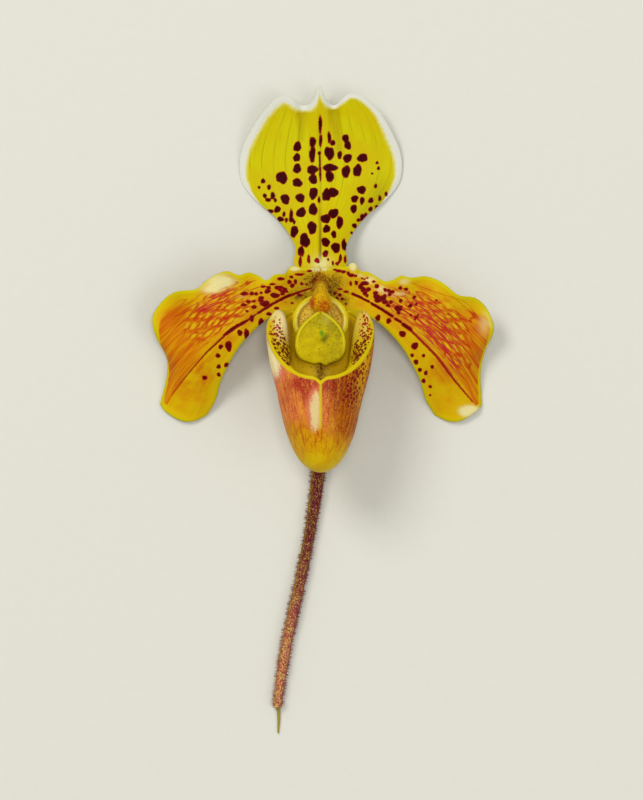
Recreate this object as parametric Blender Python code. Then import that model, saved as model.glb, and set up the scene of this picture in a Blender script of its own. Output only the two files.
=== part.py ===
"""A slipper orchid bloom, cut with its stem and laid on its back with its face up.

+X is the viewer's right, +Y is the top of the flower and +Z is towards the viewer.
The shape functions work in millimetres from the bloom's middle, with z = 0 on the table,
and MM turns what they give into metres.
"""

import math

import bmesh
import bpy
from mathutils import Matrix, Vector

MM = 0.001
REST_SPOT_Y = -14.0  # the ovary's flat spot on the table, which is the part's origin

BLADE = 0.7  # thickness of sepals and petals
POUCH_WALL = 0.8
SEAM = 0.3  # clear gap between neighbouring pieces

HUB_FACE = 13.0  # height of the receptacle's face over the table
SEPAL_FACE = HUB_FACE + SEAM + BLADE
PETAL_FACE = SEPAL_FACE + SEAM + BLADE
COLUMN_FOOT = PETAL_FACE + SEAM

WELD = 1e-6  # metres


# Small tools

def ease(start, end, value):
    """0 before start, 1 after end, smooth between."""
    share = min(1.0, max(0.0, (value - start) / (end - start)))
    return share * share * (3 - 2 * share)


def bump(value, centre, width):
    """A smooth hill of height 1."""
    return math.exp(-(((value - centre) / width) ** 2))


def mix(a, b, share):
    return a + (b - a) * share


def smooth_through(stations, key):
    """The values at key on a smooth curve through stations, each (key, value, ...)."""
    last = len(stations) - 1
    index = 0
    while index < last - 1 and key > stations[index + 1][0]:
        index += 1
    first, second = stations[index], stations[index + 1]
    before = stations[max(index - 1, 0)]
    after = stations[min(index + 2, last)]
    gap = second[0] - first[0]
    share = min(1.0, max(0.0, (key - first[0]) / gap))
    values = []
    for n in range(1, len(first)):
        slope_in = (second[n] - before[n]) / (second[0] - before[0]) * gap
        slope_out = (after[n] - first[n]) / (after[0] - first[0]) * gap
        values.append(
            first[n] * (2 * share**3 - 3 * share**2 + 1)
            + slope_in * (share**3 - 2 * share**2 + share)
            + second[n] * (3 * share**2 - 2 * share**3)
            + slope_out * (share**3 - share**2)
        )
    return values if len(values) > 1 else values[0]


def keyed_by_length(points):
    """Stations (share of the length, x, y) for a line through points."""
    lengths = [0.0]
    for a, b in zip(points, points[1:]):
        lengths.append(lengths[-1] + math.dist(a, b))
    return [(length / lengths[-1], *point) for length, point in zip(lengths, points)]


def clear_scene():
    for obj in list(bpy.data.objects):
        bpy.data.objects.remove(obj)


def material(name, colour, roughness):
    mat = bpy.data.materials.new(name)
    mat.use_nodes = True
    shader = mat.node_tree.nodes["Principled BSDF"]
    shader.inputs["Base Color"].default_value = (*colour, 1.0)
    shader.inputs["Roughness"].default_value = roughness
    shader.inputs["Metallic"].default_value = 0.0
    mat.diffuse_color = (*colour, 1.0)
    return mat


def grid(columns, rows, shape):
    """A grid whose vertices are moved to shape(u, v), with u and v from 0 to 1."""
    bm = bmesh.new()
    bmesh.ops.create_grid(bm, x_segments=columns, y_segments=rows, size=0.5)
    for vert in bm.verts:
        vert.co = Vector(shape(vert.co.x + 0.5, vert.co.y + 0.5)) * MM
    return bm


def face_up(bm):
    """Turns an open sheet so that its front looks up."""
    bm.normal_update()
    if sum(face.normal.z * face.calc_area() for face in bm.faces) < 0:
        bmesh.ops.reverse_faces(bm, faces=bm.faces[:])
    bm.normal_update()


def thicken(bm, thickness):
    """Gives a sheet its thickness behind its front."""
    bmesh.ops.solidify(bm, geom=bm.faces[:], thickness=thickness * MM)


def rest_on_table(bm):
    """Presses flat what would sink into the table."""
    for vert in bm.verts:
        vert.co.z = max(vert.co.z, 0.0)


def close(bm):
    """Joins a rolled-up grid along its seam and poles."""
    bmesh.ops.remove_doubles(bm, verts=bm.verts[:], dist=WELD)
    bmesh.ops.dissolve_degenerate(bm, edges=bm.edges[:], dist=WELD)


def finish(name, bm, mat, bloom):
    """Makes the bmesh the object of one node, under the bloom's empty."""
    bmesh.ops.recalc_face_normals(bm, faces=bm.faces[:])
    mesh = bpy.data.meshes.new(name)
    bm.to_mesh(mesh)
    bm.free()
    mesh.shade_smooth()
    mesh.materials.append(mat)
    obj = bpy.data.objects.new(name, mesh)
    bpy.context.scene.collection.objects.link(obj)
    obj.parent = bloom
    return obj


def blade(name, columns, rows, shape, mat, bloom):
    """A thin leaf-like piece."""
    bm = grid(columns, rows, shape)
    face_up(bm)
    thicken(bm, BLADE)
    rest_on_table(bm)
    return finish(name, bm, mat, bloom)


def tube(columns, rows, centre_at, across_at, radius_at, ribs=0, rib_depth=0.0):
    """A closed tube. centre_at(v) is its line and across_at(v) its two cross directions."""

    def shape(u, v):
        angle = 2 * math.pi * u
        side, up = across_at(v)
        radius = radius_at(v) * (1 + rib_depth * math.cos(ribs * (angle - math.pi / 2)))
        return (
            Vector(centre_at(v))
            + Vector(side) * radius * math.cos(angle)
            + Vector(up) * radius * math.sin(angle)
        )

    bm = grid(columns, rows, shape)
    close(bm)
    bmesh.ops.holes_fill(bm, edges=[e for e in bm.edges if e.is_boundary], sides=columns)
    return bm


def union(obj, *others):
    """Joins solids that grew together into obj."""
    grown = bpy.data.collections.new(obj.name + "_grown")
    for other in others:
        grown.objects.link(other)
    joint = obj.modifiers.new("grown_together", "BOOLEAN")
    joint.operation = "UNION"
    joint.operand_type = "COLLECTION"
    joint.collection = grown
    joint.solver = "EXACT"
    graph = bpy.context.evaluated_depsgraph_get()
    joined = bpy.data.meshes.new_from_object(obj.evaluated_get(graph))
    joined.name = obj.name
    obj.modifiers.clear()
    obj.data = joined
    for other in others:
        bpy.data.objects.remove(other)
    bpy.data.collections.remove(grown)


# Dorsal sepal

SEPAL_BASE_Y = 0.4
SEPAL_CORNER_Y = 54.5  # where the side margin turns into the wavy top margin
SEPAL_SIDE = (  # y of the side margin, half width
    (0.4, 4.2),
    (4.0, 7.4),
    (7.0, 8.5),
    (11.5, 8.1),
    (16.0, 10.2),
    (21.5, 14.6),
    (27.0, 21.0),
    (32.0, 25.0),
    (37.0, 26.1),
    (43.0, 25.2),
    (49.0, 22.4),
    (54.5, 19.0),
)
SEPAL_TOP = (  # x along the top margin, y
    (-19.0, 54.3),
    (-15.0, 58.4),
    (-12.0, 59.9),
    (-8.8, 59.1),
    (-5.4, 57.0),
    (-2.6, 58.6),
    (-0.4, 63.3),
    (1.8, 59.2),
    (4.3, 57.1),
    (6.4, 58.9),
    (9.6, 60.7),
    (14.0, 59.3),
    (19.0, 54.6),
)
SEPAL_DIPS = (-5.4, 4.3)  # x of the two dips beside the tip
SEPAL_DIP_WIDTH = 2.2
SEPAL_DIP_DEPTH = 1.8  # how far the margin folds back there
SEPAL_BEAK_WIDTH = 1.8
SEPAL_BEAK_LIFT = 1.2
SEPAL_MIDDLE = (  # y, height of the front along the middle
    (0.4, SEPAL_FACE),
    (4.5, SEPAL_FACE),
    (9.0, 12.4),
    (16.0, 8.6),
    (25.0, 5.2),
    (34.0, 3.3),
    (43.0, 3.0),
    (53.0, 4.6),
    (63.5, 8.0),
)
SEPAL_DROOP = (  # y, how far the side margins roll back
    (0.4, 0.0),
    (6.0, 1.2),
    (12.0, 3.6),
    (20.0, 3.9),
    (30.0, 3.1),
    (40.0, 1.5),
    (50.0, -0.6),
    (60.0, -1.4),
)


def dorsal_sepal_shape(u, v):
    across = 2 * u - 1
    side_y = mix(SEPAL_BASE_Y, SEPAL_CORNER_Y, v)
    x = across * smooth_through(SEPAL_SIDE, side_y)
    top_y = smooth_through(SEPAL_TOP, across * SEPAL_TOP[-1][0])
    y = mix(side_y, mix(SEPAL_BASE_Y, top_y, v), ease(0.0, 1.0, v))
    height = smooth_through(SEPAL_MIDDLE, y)
    height -= smooth_through(SEPAL_DROOP, y) * abs(across) ** 2.2
    crest = v**7
    height += SEPAL_BEAK_LIFT * crest * bump(x, 0.0, SEPAL_BEAK_WIDTH)
    for dip in SEPAL_DIPS:
        height -= SEPAL_DIP_DEPTH * crest * bump(x, dip, SEPAL_DIP_WIDTH)
    return x, y, height


# Synsepal: the two lower sepals, grown together

SYNSEPAL_LENGTH = 47.0
SYNSEPAL_CUP = 1.5  # how far its side margins rise towards the pouch
SYNSEPAL_WIDTH = (  # share of the length, half width
    (0.0, 4.0),
    (0.12, 5.4),
    (0.35, 9.0),
    (0.55, 9.8),
    (0.78, 7.8),
    (0.93, 4.2),
    (1.0, 1.0),
)
SYNSEPAL_MIDDLE = (  # share of the length, height of the front
    (0.0, SEPAL_FACE),
    (0.1, SEPAL_FACE),
    (0.3, 11.9),
    (0.6, 9.6),
    (0.85, 9.4),
    (1.0, 10.4),
)


def synsepal_shape(u, v):
    across = 2 * u - 1
    x = across * smooth_through(SYNSEPAL_WIDTH, v)
    y = -SEPAL_BASE_Y - SYNSEPAL_LENGTH * v
    height = smooth_through(SYNSEPAL_MIDDLE, v)
    height += SYNSEPAL_CUP * ease(0.1, 0.5, v) * across**2
    return x, y, height


# Petals. Outlines run from the base outwards, with x as the distance from the middle

PETAL_VEIN = (  # the midvein
    (0.6, -0.6),
    (6.0, -2.4),
    (14.0, -5.8),
    (22.5, -10.6),
    (31.0, -16.9),
    (40.3, -26.2),
    (46.6, -34.4),
    (49.9, -40.6),
)
PETAL_LOWER = (  # the smooth lower margin
    (0.6, -3.6),
    (7.0, -8.8),
    (12.6, -9.8),
    (18.4, -12.4),
    (26.0, -20.2),
    (31.4, -30.0),
    (33.6, -37.2),
    (36.4, -41.8),
)
PETAL_END_SAG = 2.8  # how far the end margin curves out past its corners
PETAL_UPPER_LEFT = (  # the wavy upper margin on the viewer's left
    (0.6, 4.6),
    (7.0, 5.2),
    (9.6, 5.5),
    (11.2, 3.2),
    (14.6, 2.8),
    (17.2, 1.0),
    (19.9, 2.5),
    (22.9, 3.5),
    (26.0, 2.7),
    (29.6, 3.9),
    (33.7, 2.7),
    (36.9, 0.5),
    (39.4, -1.7),
    (46.3, -2.7),
    (50.6, -5.6),
    (53.6, -10.6),
    (52.8, -15.9),
    (49.4, -23.0),
    (49.2, -29.0),
    (51.4, -38.4),
)
PETAL_UPPER_RIGHT = (  # and on the right
    (0.6, 4.8),
    (5.0, 5.3),
    (8.8, 5.6),
    (10.6, 6.5),
    (12.2, 4.0),
    (15.7, 3.4),
    (20.3, 0.7),
    (22.9, 1.1),
    (25.7, 2.5),
    (28.5, 1.8),
    (33.4, 2.3),
    (38.6, 0.4),
    (44.0, -3.7),
    (49.0, -4.4),
    (53.2, -8.2),
    (55.3, -14.6),
    (52.8, -21.2),
    (51.2, -28.0),
    (51.6, -38.6),
)
PETAL_VEIN_HEIGHT = (  # share of the length, height of the front along the midvein
    (0.0, PETAL_FACE),
    (0.12, PETAL_FACE),
    (0.3, 16.4),
    (0.5, 15.6),
    (0.7, 11.6),
    (0.88, 5.2),
    (1.0, 1.9),
)
PETAL_WAVES = 5.5  # waves along the upper margin
PETAL_WAVE_HEIGHT = 1.5
PETAL_LOWER_ROLL = 1.3  # how far the lower margin rolls back
PETAL_UPPER_LIFT = 1.2  # how far the upper margin stands forward near the base
PETAL_UPPER_ROLL = 2.2  # and rolls back near the end
PETAL_FAN = 1.25  # above 1, lines across the petal lean back to the base


def petal_shape(upper_margin, side):
    """side is -1 for the left petal and 1 for the right one."""
    vein = keyed_by_length(PETAL_VEIN)
    lower = keyed_by_length(PETAL_LOWER)
    upper = keyed_by_length(upper_margin)

    def shape(u, v):
        along, across = u, 2 * v - 1
        vein_x, vein_y = smooth_through(vein, along)
        if across < 0:
            edge_x, edge_y = smooth_through(lower, along)
            sag = PETAL_END_SAG * math.sin(math.pi * -across) * ease(0.6, 1.0, along) ** 2
        else:
            edge_x, edge_y = smooth_through(upper, along**PETAL_FAN)
            sag = 0.0
        x = mix(vein_x, edge_x, abs(across))
        y = mix(vein_y, edge_y, abs(across)) - sag
        height = smooth_through(PETAL_VEIN_HEIGHT, along)
        spread = ease(0.1, 0.45, along)
        if across < 0:
            height -= PETAL_LOWER_ROLL * spread * across**2
        else:
            lift = mix(PETAL_UPPER_LIFT, -PETAL_UPPER_ROLL, ease(0.45, 0.9, along))
            height += lift * spread * across**2
            wave = math.sin(2 * math.pi * PETAL_WAVES * along)
            fade = spread * (1 - ease(0.7, 1.0, along))
            height += PETAL_WAVE_HEIGHT * wave * fade * across**3
        lifted = BLADE * ease(0.8, 1.0, along)
        return side * x, y, max(height, lifted)

    return shape


# Lip: the pouch, measured along w, the root of the depth over the toe

TOE_Y = -60.1
POUCH_REACH = 51.5  # from the toe up to the top of the ears
POUCH_WIDEST = 0.42  # where it is widest, from its back wall (0) to its front wall (1)
POUCH_HALF_WIDTH = (  # w, half width as seen from the front
    (0.0, 0.0),
    (0.108, 2.6),
    (0.253, 6.0),
    (0.374, 8.6),
    (0.489, 10.8),
    (0.598, 12.3),
    (0.7, 13.8),
    (0.8, 15.7),
    (0.9, 17.0),
    (0.95, 16.9),
    (0.99, 15.4),
    (1.06, 13.6),
)
POUCH_FRONT = (  # w, height of the front wall
    (0.0, 30.0),
    (0.108, 33.0),
    (0.253, 36.6),
    (0.374, 39.0),
    (0.489, 41.0),
    (0.6, 42.2),
    (0.76, 42.0),
    (0.9, 40.0),
    (1.06, 38.0),
)
POUCH_BACK = (  # w, height of the back wall
    (0.0, 30.0),
    (0.108, 26.8),
    (0.253, 23.2),
    (0.374, 20.8),
    (0.489, 19.0),
    (0.6, 17.9),
    (0.75, 17.2),
    (0.9, 17.0),
    (1.0, 16.8),
    (1.025, COLUMN_FOOT + 0.1),
    (1.06, COLUMN_FOOT + 0.1),
)
POUCH_RIM = (  # angle from the front in degrees, y of the rim
    (0.0, -31.6),
    (7.0, -30.2),
    (20.0, -29.6),
    (40.0, -27.3),
    (60.0, -22.8),
    (75.0, -17.8),
    (90.0, -12.9),
    (104.0, -9.9),
    (118.0, -9.0),
    (132.0, -9.0),
    (148.0, -8.2),
    (162.0, -5.4),
    (180.0, -3.9),
)
POUCH_FREE_EDGE = (  # angle, x, y and z of the infolded margin
    (0.0, 0.0, -31.6, 40.2),
    (20.0, 4.8, -30.4, 40.0),
    (32.0, 7.4, -29.2, 37.0),
    (45.0, 8.8, -26.6, 31.0),
    (60.0, 9.4, -22.8, 27.6),
    (75.0, 9.9, -19.0, 25.8),
    (90.0, 10.4, -15.4, 24.8),
    (104.0, 10.9, -12.8, 24.0),
    (118.0, 11.2, -11.2, 23.2),
    (132.0, 9.6, -9.9, 20.2),
    (148.0, 7.2, -9.2, 18.2),
    (162.0, 4.1, -6.4, 17.4),
    (180.0, 0.0, -4.9, 17.2),
)
RIM_ROLL = 1.0  # how far the margin runs on past the rim before it turns in
LOBE_ROLL = 3.2  # and at the side lobes
RIM_ARRIVAL = Vector((0.0, 0.6, 0.2))  # from the free edge back to where the fold comes from
LOBE_ARRIVAL = Vector((0.0, 3.0, 2.0))
POUCH_COLUMNS = 44
POUCH_WALL_ROWS = 13
POUCH_FOLD_ROWS = 6


def pouch_wall(angle, w):
    """A point on the outside of the pouch. angle is 0 at the front, in degrees."""
    radians = math.radians(angle)
    front = smooth_through(POUCH_FRONT, w)
    back = smooth_through(POUCH_BACK, w)
    widest = mix(back, front, POUCH_WIDEST)
    reach = front - widest if math.cos(radians) > 0 else widest - back
    return Vector(
        (
            smooth_through(POUCH_HALF_WIDTH, w) * math.sin(radians),
            TOE_Y + POUCH_REACH * w * w,
            widest + reach * math.cos(radians),
        )
    )


def pouch_shape(u, v):
    """The wall from the toe to the rim, then the margin that folds inwards."""
    turn = 360.0 * u
    angle = min(turn, 360.0 - turn)
    side = 1.0 if turn <= 180.0 else -1.0
    rim_w = math.sqrt((smooth_through(POUCH_RIM, angle) - TOE_Y) / POUCH_REACH)
    row = v * (POUCH_WALL_ROWS + POUCH_FOLD_ROWS)
    if row <= POUCH_WALL_ROWS:
        point = pouch_wall(angle, rim_w * row / POUCH_WALL_ROWS)
    else:
        share = (row - POUCH_WALL_ROWS) / POUCH_FOLD_ROWS
        rim = pouch_wall(angle, rim_w)
        rise = (rim - pouch_wall(angle, rim_w - 0.03)).normalized()
        edge = Vector(smooth_through(POUCH_FREE_EDGE, angle))
        lobe = ease(25.0, 50.0, angle) * (1 - ease(120.0, 140.0, angle))
        leave = rim + rise * mix(RIM_ROLL, LOBE_ROLL, lobe)
        arrive = edge + RIM_ARRIVAL.lerp(LOBE_ARRIVAL, lobe)
        rest = 1.0 - share
        point = (
            rim * rest**3
            + leave * 3 * rest**2 * share
            + arrive * 3 * rest * share**2
            + edge * share**3
        )
    return side * point.x, point.y, point.z


def make_pouch(mat, bloom):
    bm = grid(POUCH_COLUMNS, POUCH_WALL_ROWS + POUCH_FOLD_ROWS, pouch_shape)
    close(bm)
    bmesh.ops.recalc_face_normals(bm, faces=bm.faces[:])
    bm.normal_update()
    lowest = min(bm.faces, key=lambda face: face.calc_center_median().y)
    if lowest.normal.y > 0:
        bmesh.ops.reverse_faces(bm, faces=bm.faces[:])
    bm.normal_update()
    thicken(bm, POUCH_WALL)
    return finish("lip_pouch", bm, mat, bloom)


# Staminode: the shield in the mouth of the pouch

SHIELD_MIDDLE = (0.0, -17.4)
SHIELD_FACE = 31.6
SHIELD_THICKNESS = 1.2
SHIELD_DOME = 0.9  # how far the edge lies behind the middle
SHIELD_RIM = 0.5  # how far the rounded rim stands out
UMBO_HEIGHT = 0.8  # the knob in the middle of the shield
UMBO_RADIUS = 1.4
SHIELD_OUTLINE = (  # degrees from the top, distance from the middle
    (0.0, 8.9),
    (25.0, 8.0),
    (50.0, 7.6),
    (75.0, 7.9),
    (100.0, 8.2),
    (125.0, 8.7),
    (145.0, 9.2),
    (165.0, 8.9),
    (180.0, 8.7),
)
BOSS_PLACE = (0.0, -5.2, 29.8)
BOSS_SIZE = (3.5, 4.6, 3.2)
BOSS_TAPER = 0.35  # how much narrower it is at its top, and wider at its foot
BOSS_BACK = 27.4


def shield_shape(u, v):
    turn = 360.0 * u
    angle = min(turn, 360.0 - turn)
    reach = v * smooth_through(SHIELD_OUTLINE, angle)
    radians = math.radians(turn)
    height = SHIELD_FACE - SHIELD_DOME * v * v
    height += SHIELD_RIM * (bump(v, 0.9, 0.12) - ease(0.93, 1.0, v))
    height += UMBO_HEIGHT * bump(reach, 0.0, UMBO_RADIUS)
    return (
        SHIELD_MIDDLE[0] + reach * math.sin(radians),
        SHIELD_MIDDLE[1] + reach * math.cos(radians),
        height,
    )


def make_staminode(mat, bloom):
    bm = grid(28, 7, shield_shape)
    close(bm)
    face_up(bm)
    thicken(bm, SHIELD_THICKNESS)
    shield = finish("staminode", bm, mat, bloom)
    bm = bmesh.new()
    bmesh.ops.create_uvsphere(bm, u_segments=14, v_segments=9, radius=1.0)
    for vert in bm.verts:
        vert.co.x *= 1.0 - BOSS_TAPER * vert.co.y
        point = [place + size * c for place, size, c in zip(BOSS_PLACE, BOSS_SIZE, vert.co)]
        point[2] = max(point[2], BOSS_BACK)
        vert.co = Vector(point) * MM
    union(shield, finish("boss", bm, mat, bloom))
    return shield


# Column: the stalk behind the shield, its two crescent arms and the stigma under it

COLUMN_LINE = (  # share, y and z of its middle
    (0.0, -0.2, COLUMN_FOOT),
    (0.3, -0.6, 18.5),
    (0.7, -3.0, 23.5),
    (1.0, -4.6, BOSS_BACK - SEAM),
)
COLUMN_LEAN = 0.5  # radians, at the middle of the stalk
COLUMN_RADIUS = (  # share, radius
    (0.0, 2.9),
    (0.5, 2.3),
    (0.8, 2.4),
    (1.0, 3.0),
)
ARM_MIDDLE_Y = -12.6
ARM_REACH = 9.1
ARM_HOLLOW = 24.2  # height of the hollow between the arms
ARM_RIM = 28.4
ARM_TOP_DIP = 2.6  # how far the rim lies lower at the top, behind the boss
ARM_FOOT_DIP = 1.3  # and at the two feet
ARM_ROUND = 0.6  # how far the rim's outer edge rolls over
ARM_THICKNESS = 1.0
ARM_SPAN = 118.0  # degrees from the top to the foot of an arm
STIGMA_PLACE = (0.0, -6.6, 21.6)
STIGMA_SIZE = (3.4, 3.0, 1.3)
STIGMA_TILT = math.radians(35)


def column_centre(share):
    y, z = smooth_through(COLUMN_LINE, share)
    return 0.0, y, z


def column_across(share):
    """Cross directions that lean with the column, and lie flat at its two ends."""
    lean = COLUMN_LEAN * ease(0.0, 0.3, share) * (1 - ease(0.75, 1.0, share))
    return (1.0, 0.0, 0.0), (0.0, math.cos(lean), math.sin(lean))


def arms_shape(u, v):
    """A shallow hood, open below, whose raised rim is seen as two crescents."""
    across = 2 * u - 1
    radians = math.radians(ARM_SPAN * across)
    reach = mix(2.0, ARM_REACH, v) * mix(1.0, 0.93, across**4)
    rim = ARM_RIM - ARM_TOP_DIP * bump(across, 0.0, 0.42) - ARM_FOOT_DIP * abs(across) ** 3
    height = mix(ARM_HOLLOW, rim, ease(0.45, 0.82, v)) - ARM_ROUND * ease(0.85, 1.0, v)
    return reach * math.sin(radians), ARM_MIDDLE_Y + reach * math.cos(radians), height


def make_column(mat, bloom):
    stalk = tube(
        14,
        7,
        column_centre,
        column_across,
        lambda share: smooth_through(COLUMN_RADIUS, share),
    )
    column = finish("column", stalk, mat, bloom)
    bm = grid(24, 8, arms_shape)
    face_up(bm)
    thicken(bm, ARM_THICKNESS)
    arms = finish("arms", bm, mat, bloom)
    bm = bmesh.new()
    bmesh.ops.create_uvsphere(bm, u_segments=12, v_segments=7, radius=1.0)
    bmesh.ops.scale(bm, verts=bm.verts[:], vec=Vector(STIGMA_SIZE) * MM)
    turn = Matrix.Rotation(STIGMA_TILT, 3, "X")
    bmesh.ops.rotate(bm, verts=bm.verts[:], cent=(0, 0, 0), matrix=turn)
    bmesh.ops.translate(bm, verts=bm.verts[:], vec=Vector(STIGMA_PLACE) * MM)
    union(column, arms, finish("stigma", bm, mat, bloom))
    return column


# Ovary with the receptacle on its end, bract and stem

OVARY_LINE = (  # share, y and z of its middle
    (0.0, -34.0, 2.3),
    (0.3, -24.0, 2.5),
    (0.55, -14.5, 2.5),
    (0.7, -8.6, 3.4),
    (0.84, -3.6, 6.4),
    (0.94, -0.8, 10.4),
    (1.0, -0.2, HUB_FACE),
)
OVARY_RADIUS = (
    (0.0, 1.9),
    (0.15, 2.3),
    (0.4, 2.8),
    (0.65, 2.8),
    (0.84, 2.6),
    (0.93, 3.1),
    (0.975, 4.6),
    (1.0, 5.0),
)
OVARY_RIBS = 6
OVARY_RIB_DEPTH = 0.05  # as a share of its radius
RECEPTACLE_FROM = 0.93  # share of the line past which the ovary widens into its face
STEM_LINE = (  # share, x, y and radius
    (0.0, 0.0, -34.0 - SEAM, 2.2),
    (0.13, 0.0, -46.0, 2.25),
    (0.27, -0.8, -60.0, 2.2),
    (0.46, -3.4, -79.0, 1.75),
    (0.64, -7.0, -97.0, 1.8),
    (0.81, -10.8, -114.5, 1.75),
    (0.92, -12.7, -126.0, 1.6),
    (1.0, -13.9, -135.4, 1.45),
)
STEM_SEAT = 0.92  # height of its middle in radii, so that it lies on a narrow flat
SLIVER_TIP = (-13.5, -143.7, 0.5)  # the torn strip of skin past the cut
SLIVER_ROOT = (-13.2, -130.0, 0.8)
SLIVER_FLATNESS = 0.55
SLIVER_RADII = (0.9, 0.25)  # at its root and at its tip


def ovary_centre(share):
    y, z = smooth_through(OVARY_LINE, share)
    return 0.0, y, z


def ovary_across(share):
    """Cross directions square to the line, turned to lie flat under the receptacle's face."""
    step = 0.02
    y0, z0 = smooth_through(OVARY_LINE, max(share - step, 0.0))
    y1, z1 = smooth_through(OVARY_LINE, min(share + step, 1.0))
    lean = math.atan2(z1 - z0, y1 - y0)
    lean = mix(lean, math.pi / 2, ease(RECEPTACLE_FROM, 0.99, share))
    return (1.0, 0.0, 0.0), (0.0, -math.sin(lean), math.cos(lean))


def make_ovary(mat, bloom):
    bm = tube(
        24,
        20,
        ovary_centre,
        ovary_across,
        lambda share: smooth_through(OVARY_RADIUS, share),
        OVARY_RIBS,
        OVARY_RIB_DEPTH,
    )
    rest_on_table(bm)
    return finish("ovary", bm, mat, bloom)


def stem_centre(share):
    x, y, radius = smooth_through(STEM_LINE, share)
    return x, y, STEM_SEAT * radius


def make_stem(mat, bloom):
    bm = tube(
        12,
        26,
        stem_centre,
        lambda share: ((1.0, 0.0, 0.0), (0.0, 0.0, 1.0)),
        lambda share: smooth_through(STEM_LINE, share)[2],
    )
    rest_on_table(bm)
    stem = finish("stem", bm, mat, bloom)
    root, tip = Vector(SLIVER_ROOT), Vector(SLIVER_TIP)
    bm = tube(
        8,
        6,
        lambda share: root.lerp(tip, share),
        lambda share: ((1.0, 0.0, 0.0), (0.0, 0.0, SLIVER_FLATNESS)),
        lambda share: mix(*SLIVER_RADII, share),
    )
    rest_on_table(bm)
    union(stem, finish("sliver", bm, mat, bloom))
    return stem


BRACT_FROM_Y = -30.0
BRACT_LENGTH = 25.0
BRACT_RADIUS = (  # share of its length, distance from the stem's middle, x of that middle
    (0.0, 4.0, 0.0),
    (0.25, 3.8, 0.0),
    (0.6, 3.5, 0.0),
    (1.0, 3.3, -0.5),
)
BRACT_HALF_TURN = (  # share of its length, degrees that it wraps to each side of the top
    (0.0, 14.0),
    (0.2, 66.0),
    (0.5, 104.0),
    (1.0, 112.0),
)
BRACT_MIDDLE = 2.2  # height of the sheath's middle line


def bract_shape(u, v):
    """A sheath open underneath. Its pointed end lies over the ovary."""
    turn = math.radians(smooth_through(BRACT_HALF_TURN, v)) * (2 * u - 1)
    radius, middle_x = smooth_through(BRACT_RADIUS, v)
    y = BRACT_FROM_Y - BRACT_LENGTH * v
    return middle_x + radius * math.sin(turn), y, BRACT_MIDDLE + radius * math.cos(turn)


# The bloom

def build():
    clear_scene()
    bloom = bpy.data.objects.new("bloom", None)
    bpy.context.scene.collection.objects.link(bloom)
    bloom.location = (0.0, -REST_SPOT_Y * MM, 0.0)

    yellow = material("sepal_yellow", (0.62, 0.53, 0.02), 0.5)
    green = material("sepal_green", (0.42, 0.45, 0.08), 0.55)
    orange = material("petal_orange", (0.56, 0.22, 0.01), 0.45)
    russet = material("pouch_russet", (0.52, 0.16, 0.02), 0.35)
    lemon = material("shield_lemon", (0.54, 0.41, 0.01), 0.55)
    cream = material("column_cream", (0.64, 0.52, 0.06), 0.5)
    purple = material("stem_purple", (0.16, 0.04, 0.03), 0.7)
    leaf = material("bract_green", (0.24, 0.28, 0.06), 0.6)

    blade("dorsal_sepal", 20, 18, dorsal_sepal_shape, yellow, bloom)
    blade("synsepal", 12, 14, synsepal_shape, green, bloom)
    blade("petal_left", 30, 12, petal_shape(PETAL_UPPER_LEFT, -1), orange, bloom)
    blade("petal_right", 30, 12, petal_shape(PETAL_UPPER_RIGHT, 1), orange, bloom)
    make_pouch(russet, bloom)
    make_staminode(lemon, bloom)
    make_column(cream, bloom)
    make_ovary(purple, bloom)
    make_stem(purple, bloom)
    blade("bract", 12, 10, bract_shape, leaf, bloom)


build()
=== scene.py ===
# %% [markdown]
# A slipper orchid bloom, cut with its stem and laid on its back, so that its face looks up.
# It has one broad upper sepal, two long wavy petals, a pouch with a shield in its mouth, and
# behind them the lower sepal, the ovary with its bract, and a hairy stem.
# A petal is a thin sheet that curves in every direction. It could be sculpted by hand, or cut
# from a plane and bent with modifiers. Here a flat grid is moved to a formula instead, because
# a formula keeps the outline at its real size, and the same numbers can place every marking.
# Two numbers, u and v, run from 0 to 1 over each grid: u across its columns, v up its rows.

# %% Load the frame
import math
import random
from functools import partial

import bmesh
import bpy
import numpy as np
from mathutils import Matrix, Vector, kdtree, noise


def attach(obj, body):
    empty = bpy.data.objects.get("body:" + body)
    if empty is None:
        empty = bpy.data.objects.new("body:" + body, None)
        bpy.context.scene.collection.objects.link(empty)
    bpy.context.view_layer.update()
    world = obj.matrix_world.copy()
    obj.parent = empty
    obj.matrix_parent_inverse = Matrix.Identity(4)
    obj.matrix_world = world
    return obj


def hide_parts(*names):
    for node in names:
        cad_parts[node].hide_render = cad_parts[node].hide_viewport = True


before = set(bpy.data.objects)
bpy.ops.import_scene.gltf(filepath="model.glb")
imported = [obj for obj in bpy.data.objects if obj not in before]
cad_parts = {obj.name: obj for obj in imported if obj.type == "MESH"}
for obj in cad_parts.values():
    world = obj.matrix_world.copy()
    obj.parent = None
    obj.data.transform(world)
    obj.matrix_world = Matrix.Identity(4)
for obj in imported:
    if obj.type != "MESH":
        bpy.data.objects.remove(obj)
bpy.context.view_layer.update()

# %% [markdown]
# Every length below is in millimetres from the middle of the bloom: x to the viewer's right,
# y up the flower and z towards the viewer, with the table at z = 0. The part's own origin is
# the spot where the ovary rests, a little below the middle, so points are shifted at the end.

# %% Sizes that every piece shares
MM = 0.001
REST_SPOT_Y = -14.0
BLADE = 0.7  # thickness of a sepal or petal in its middle
SEAM = 0.3  # clear gap between neighbours
HUB_FACE = 13.0  # height of the receptacle's face
SEPAL_FACE = HUB_FACE + SEAM + BLADE
PETAL_FACE = SEPAL_FACE + SEAM + BLADE
COLUMN_FOOT = PETAL_FACE + SEAM
TO_ORIGIN = np.array([0.0, -REST_SPOT_Y, 0.0])
print("the sepals lie at", SEPAL_FACE, "mm, the petals at", PETAL_FACE, "mm")

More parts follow.
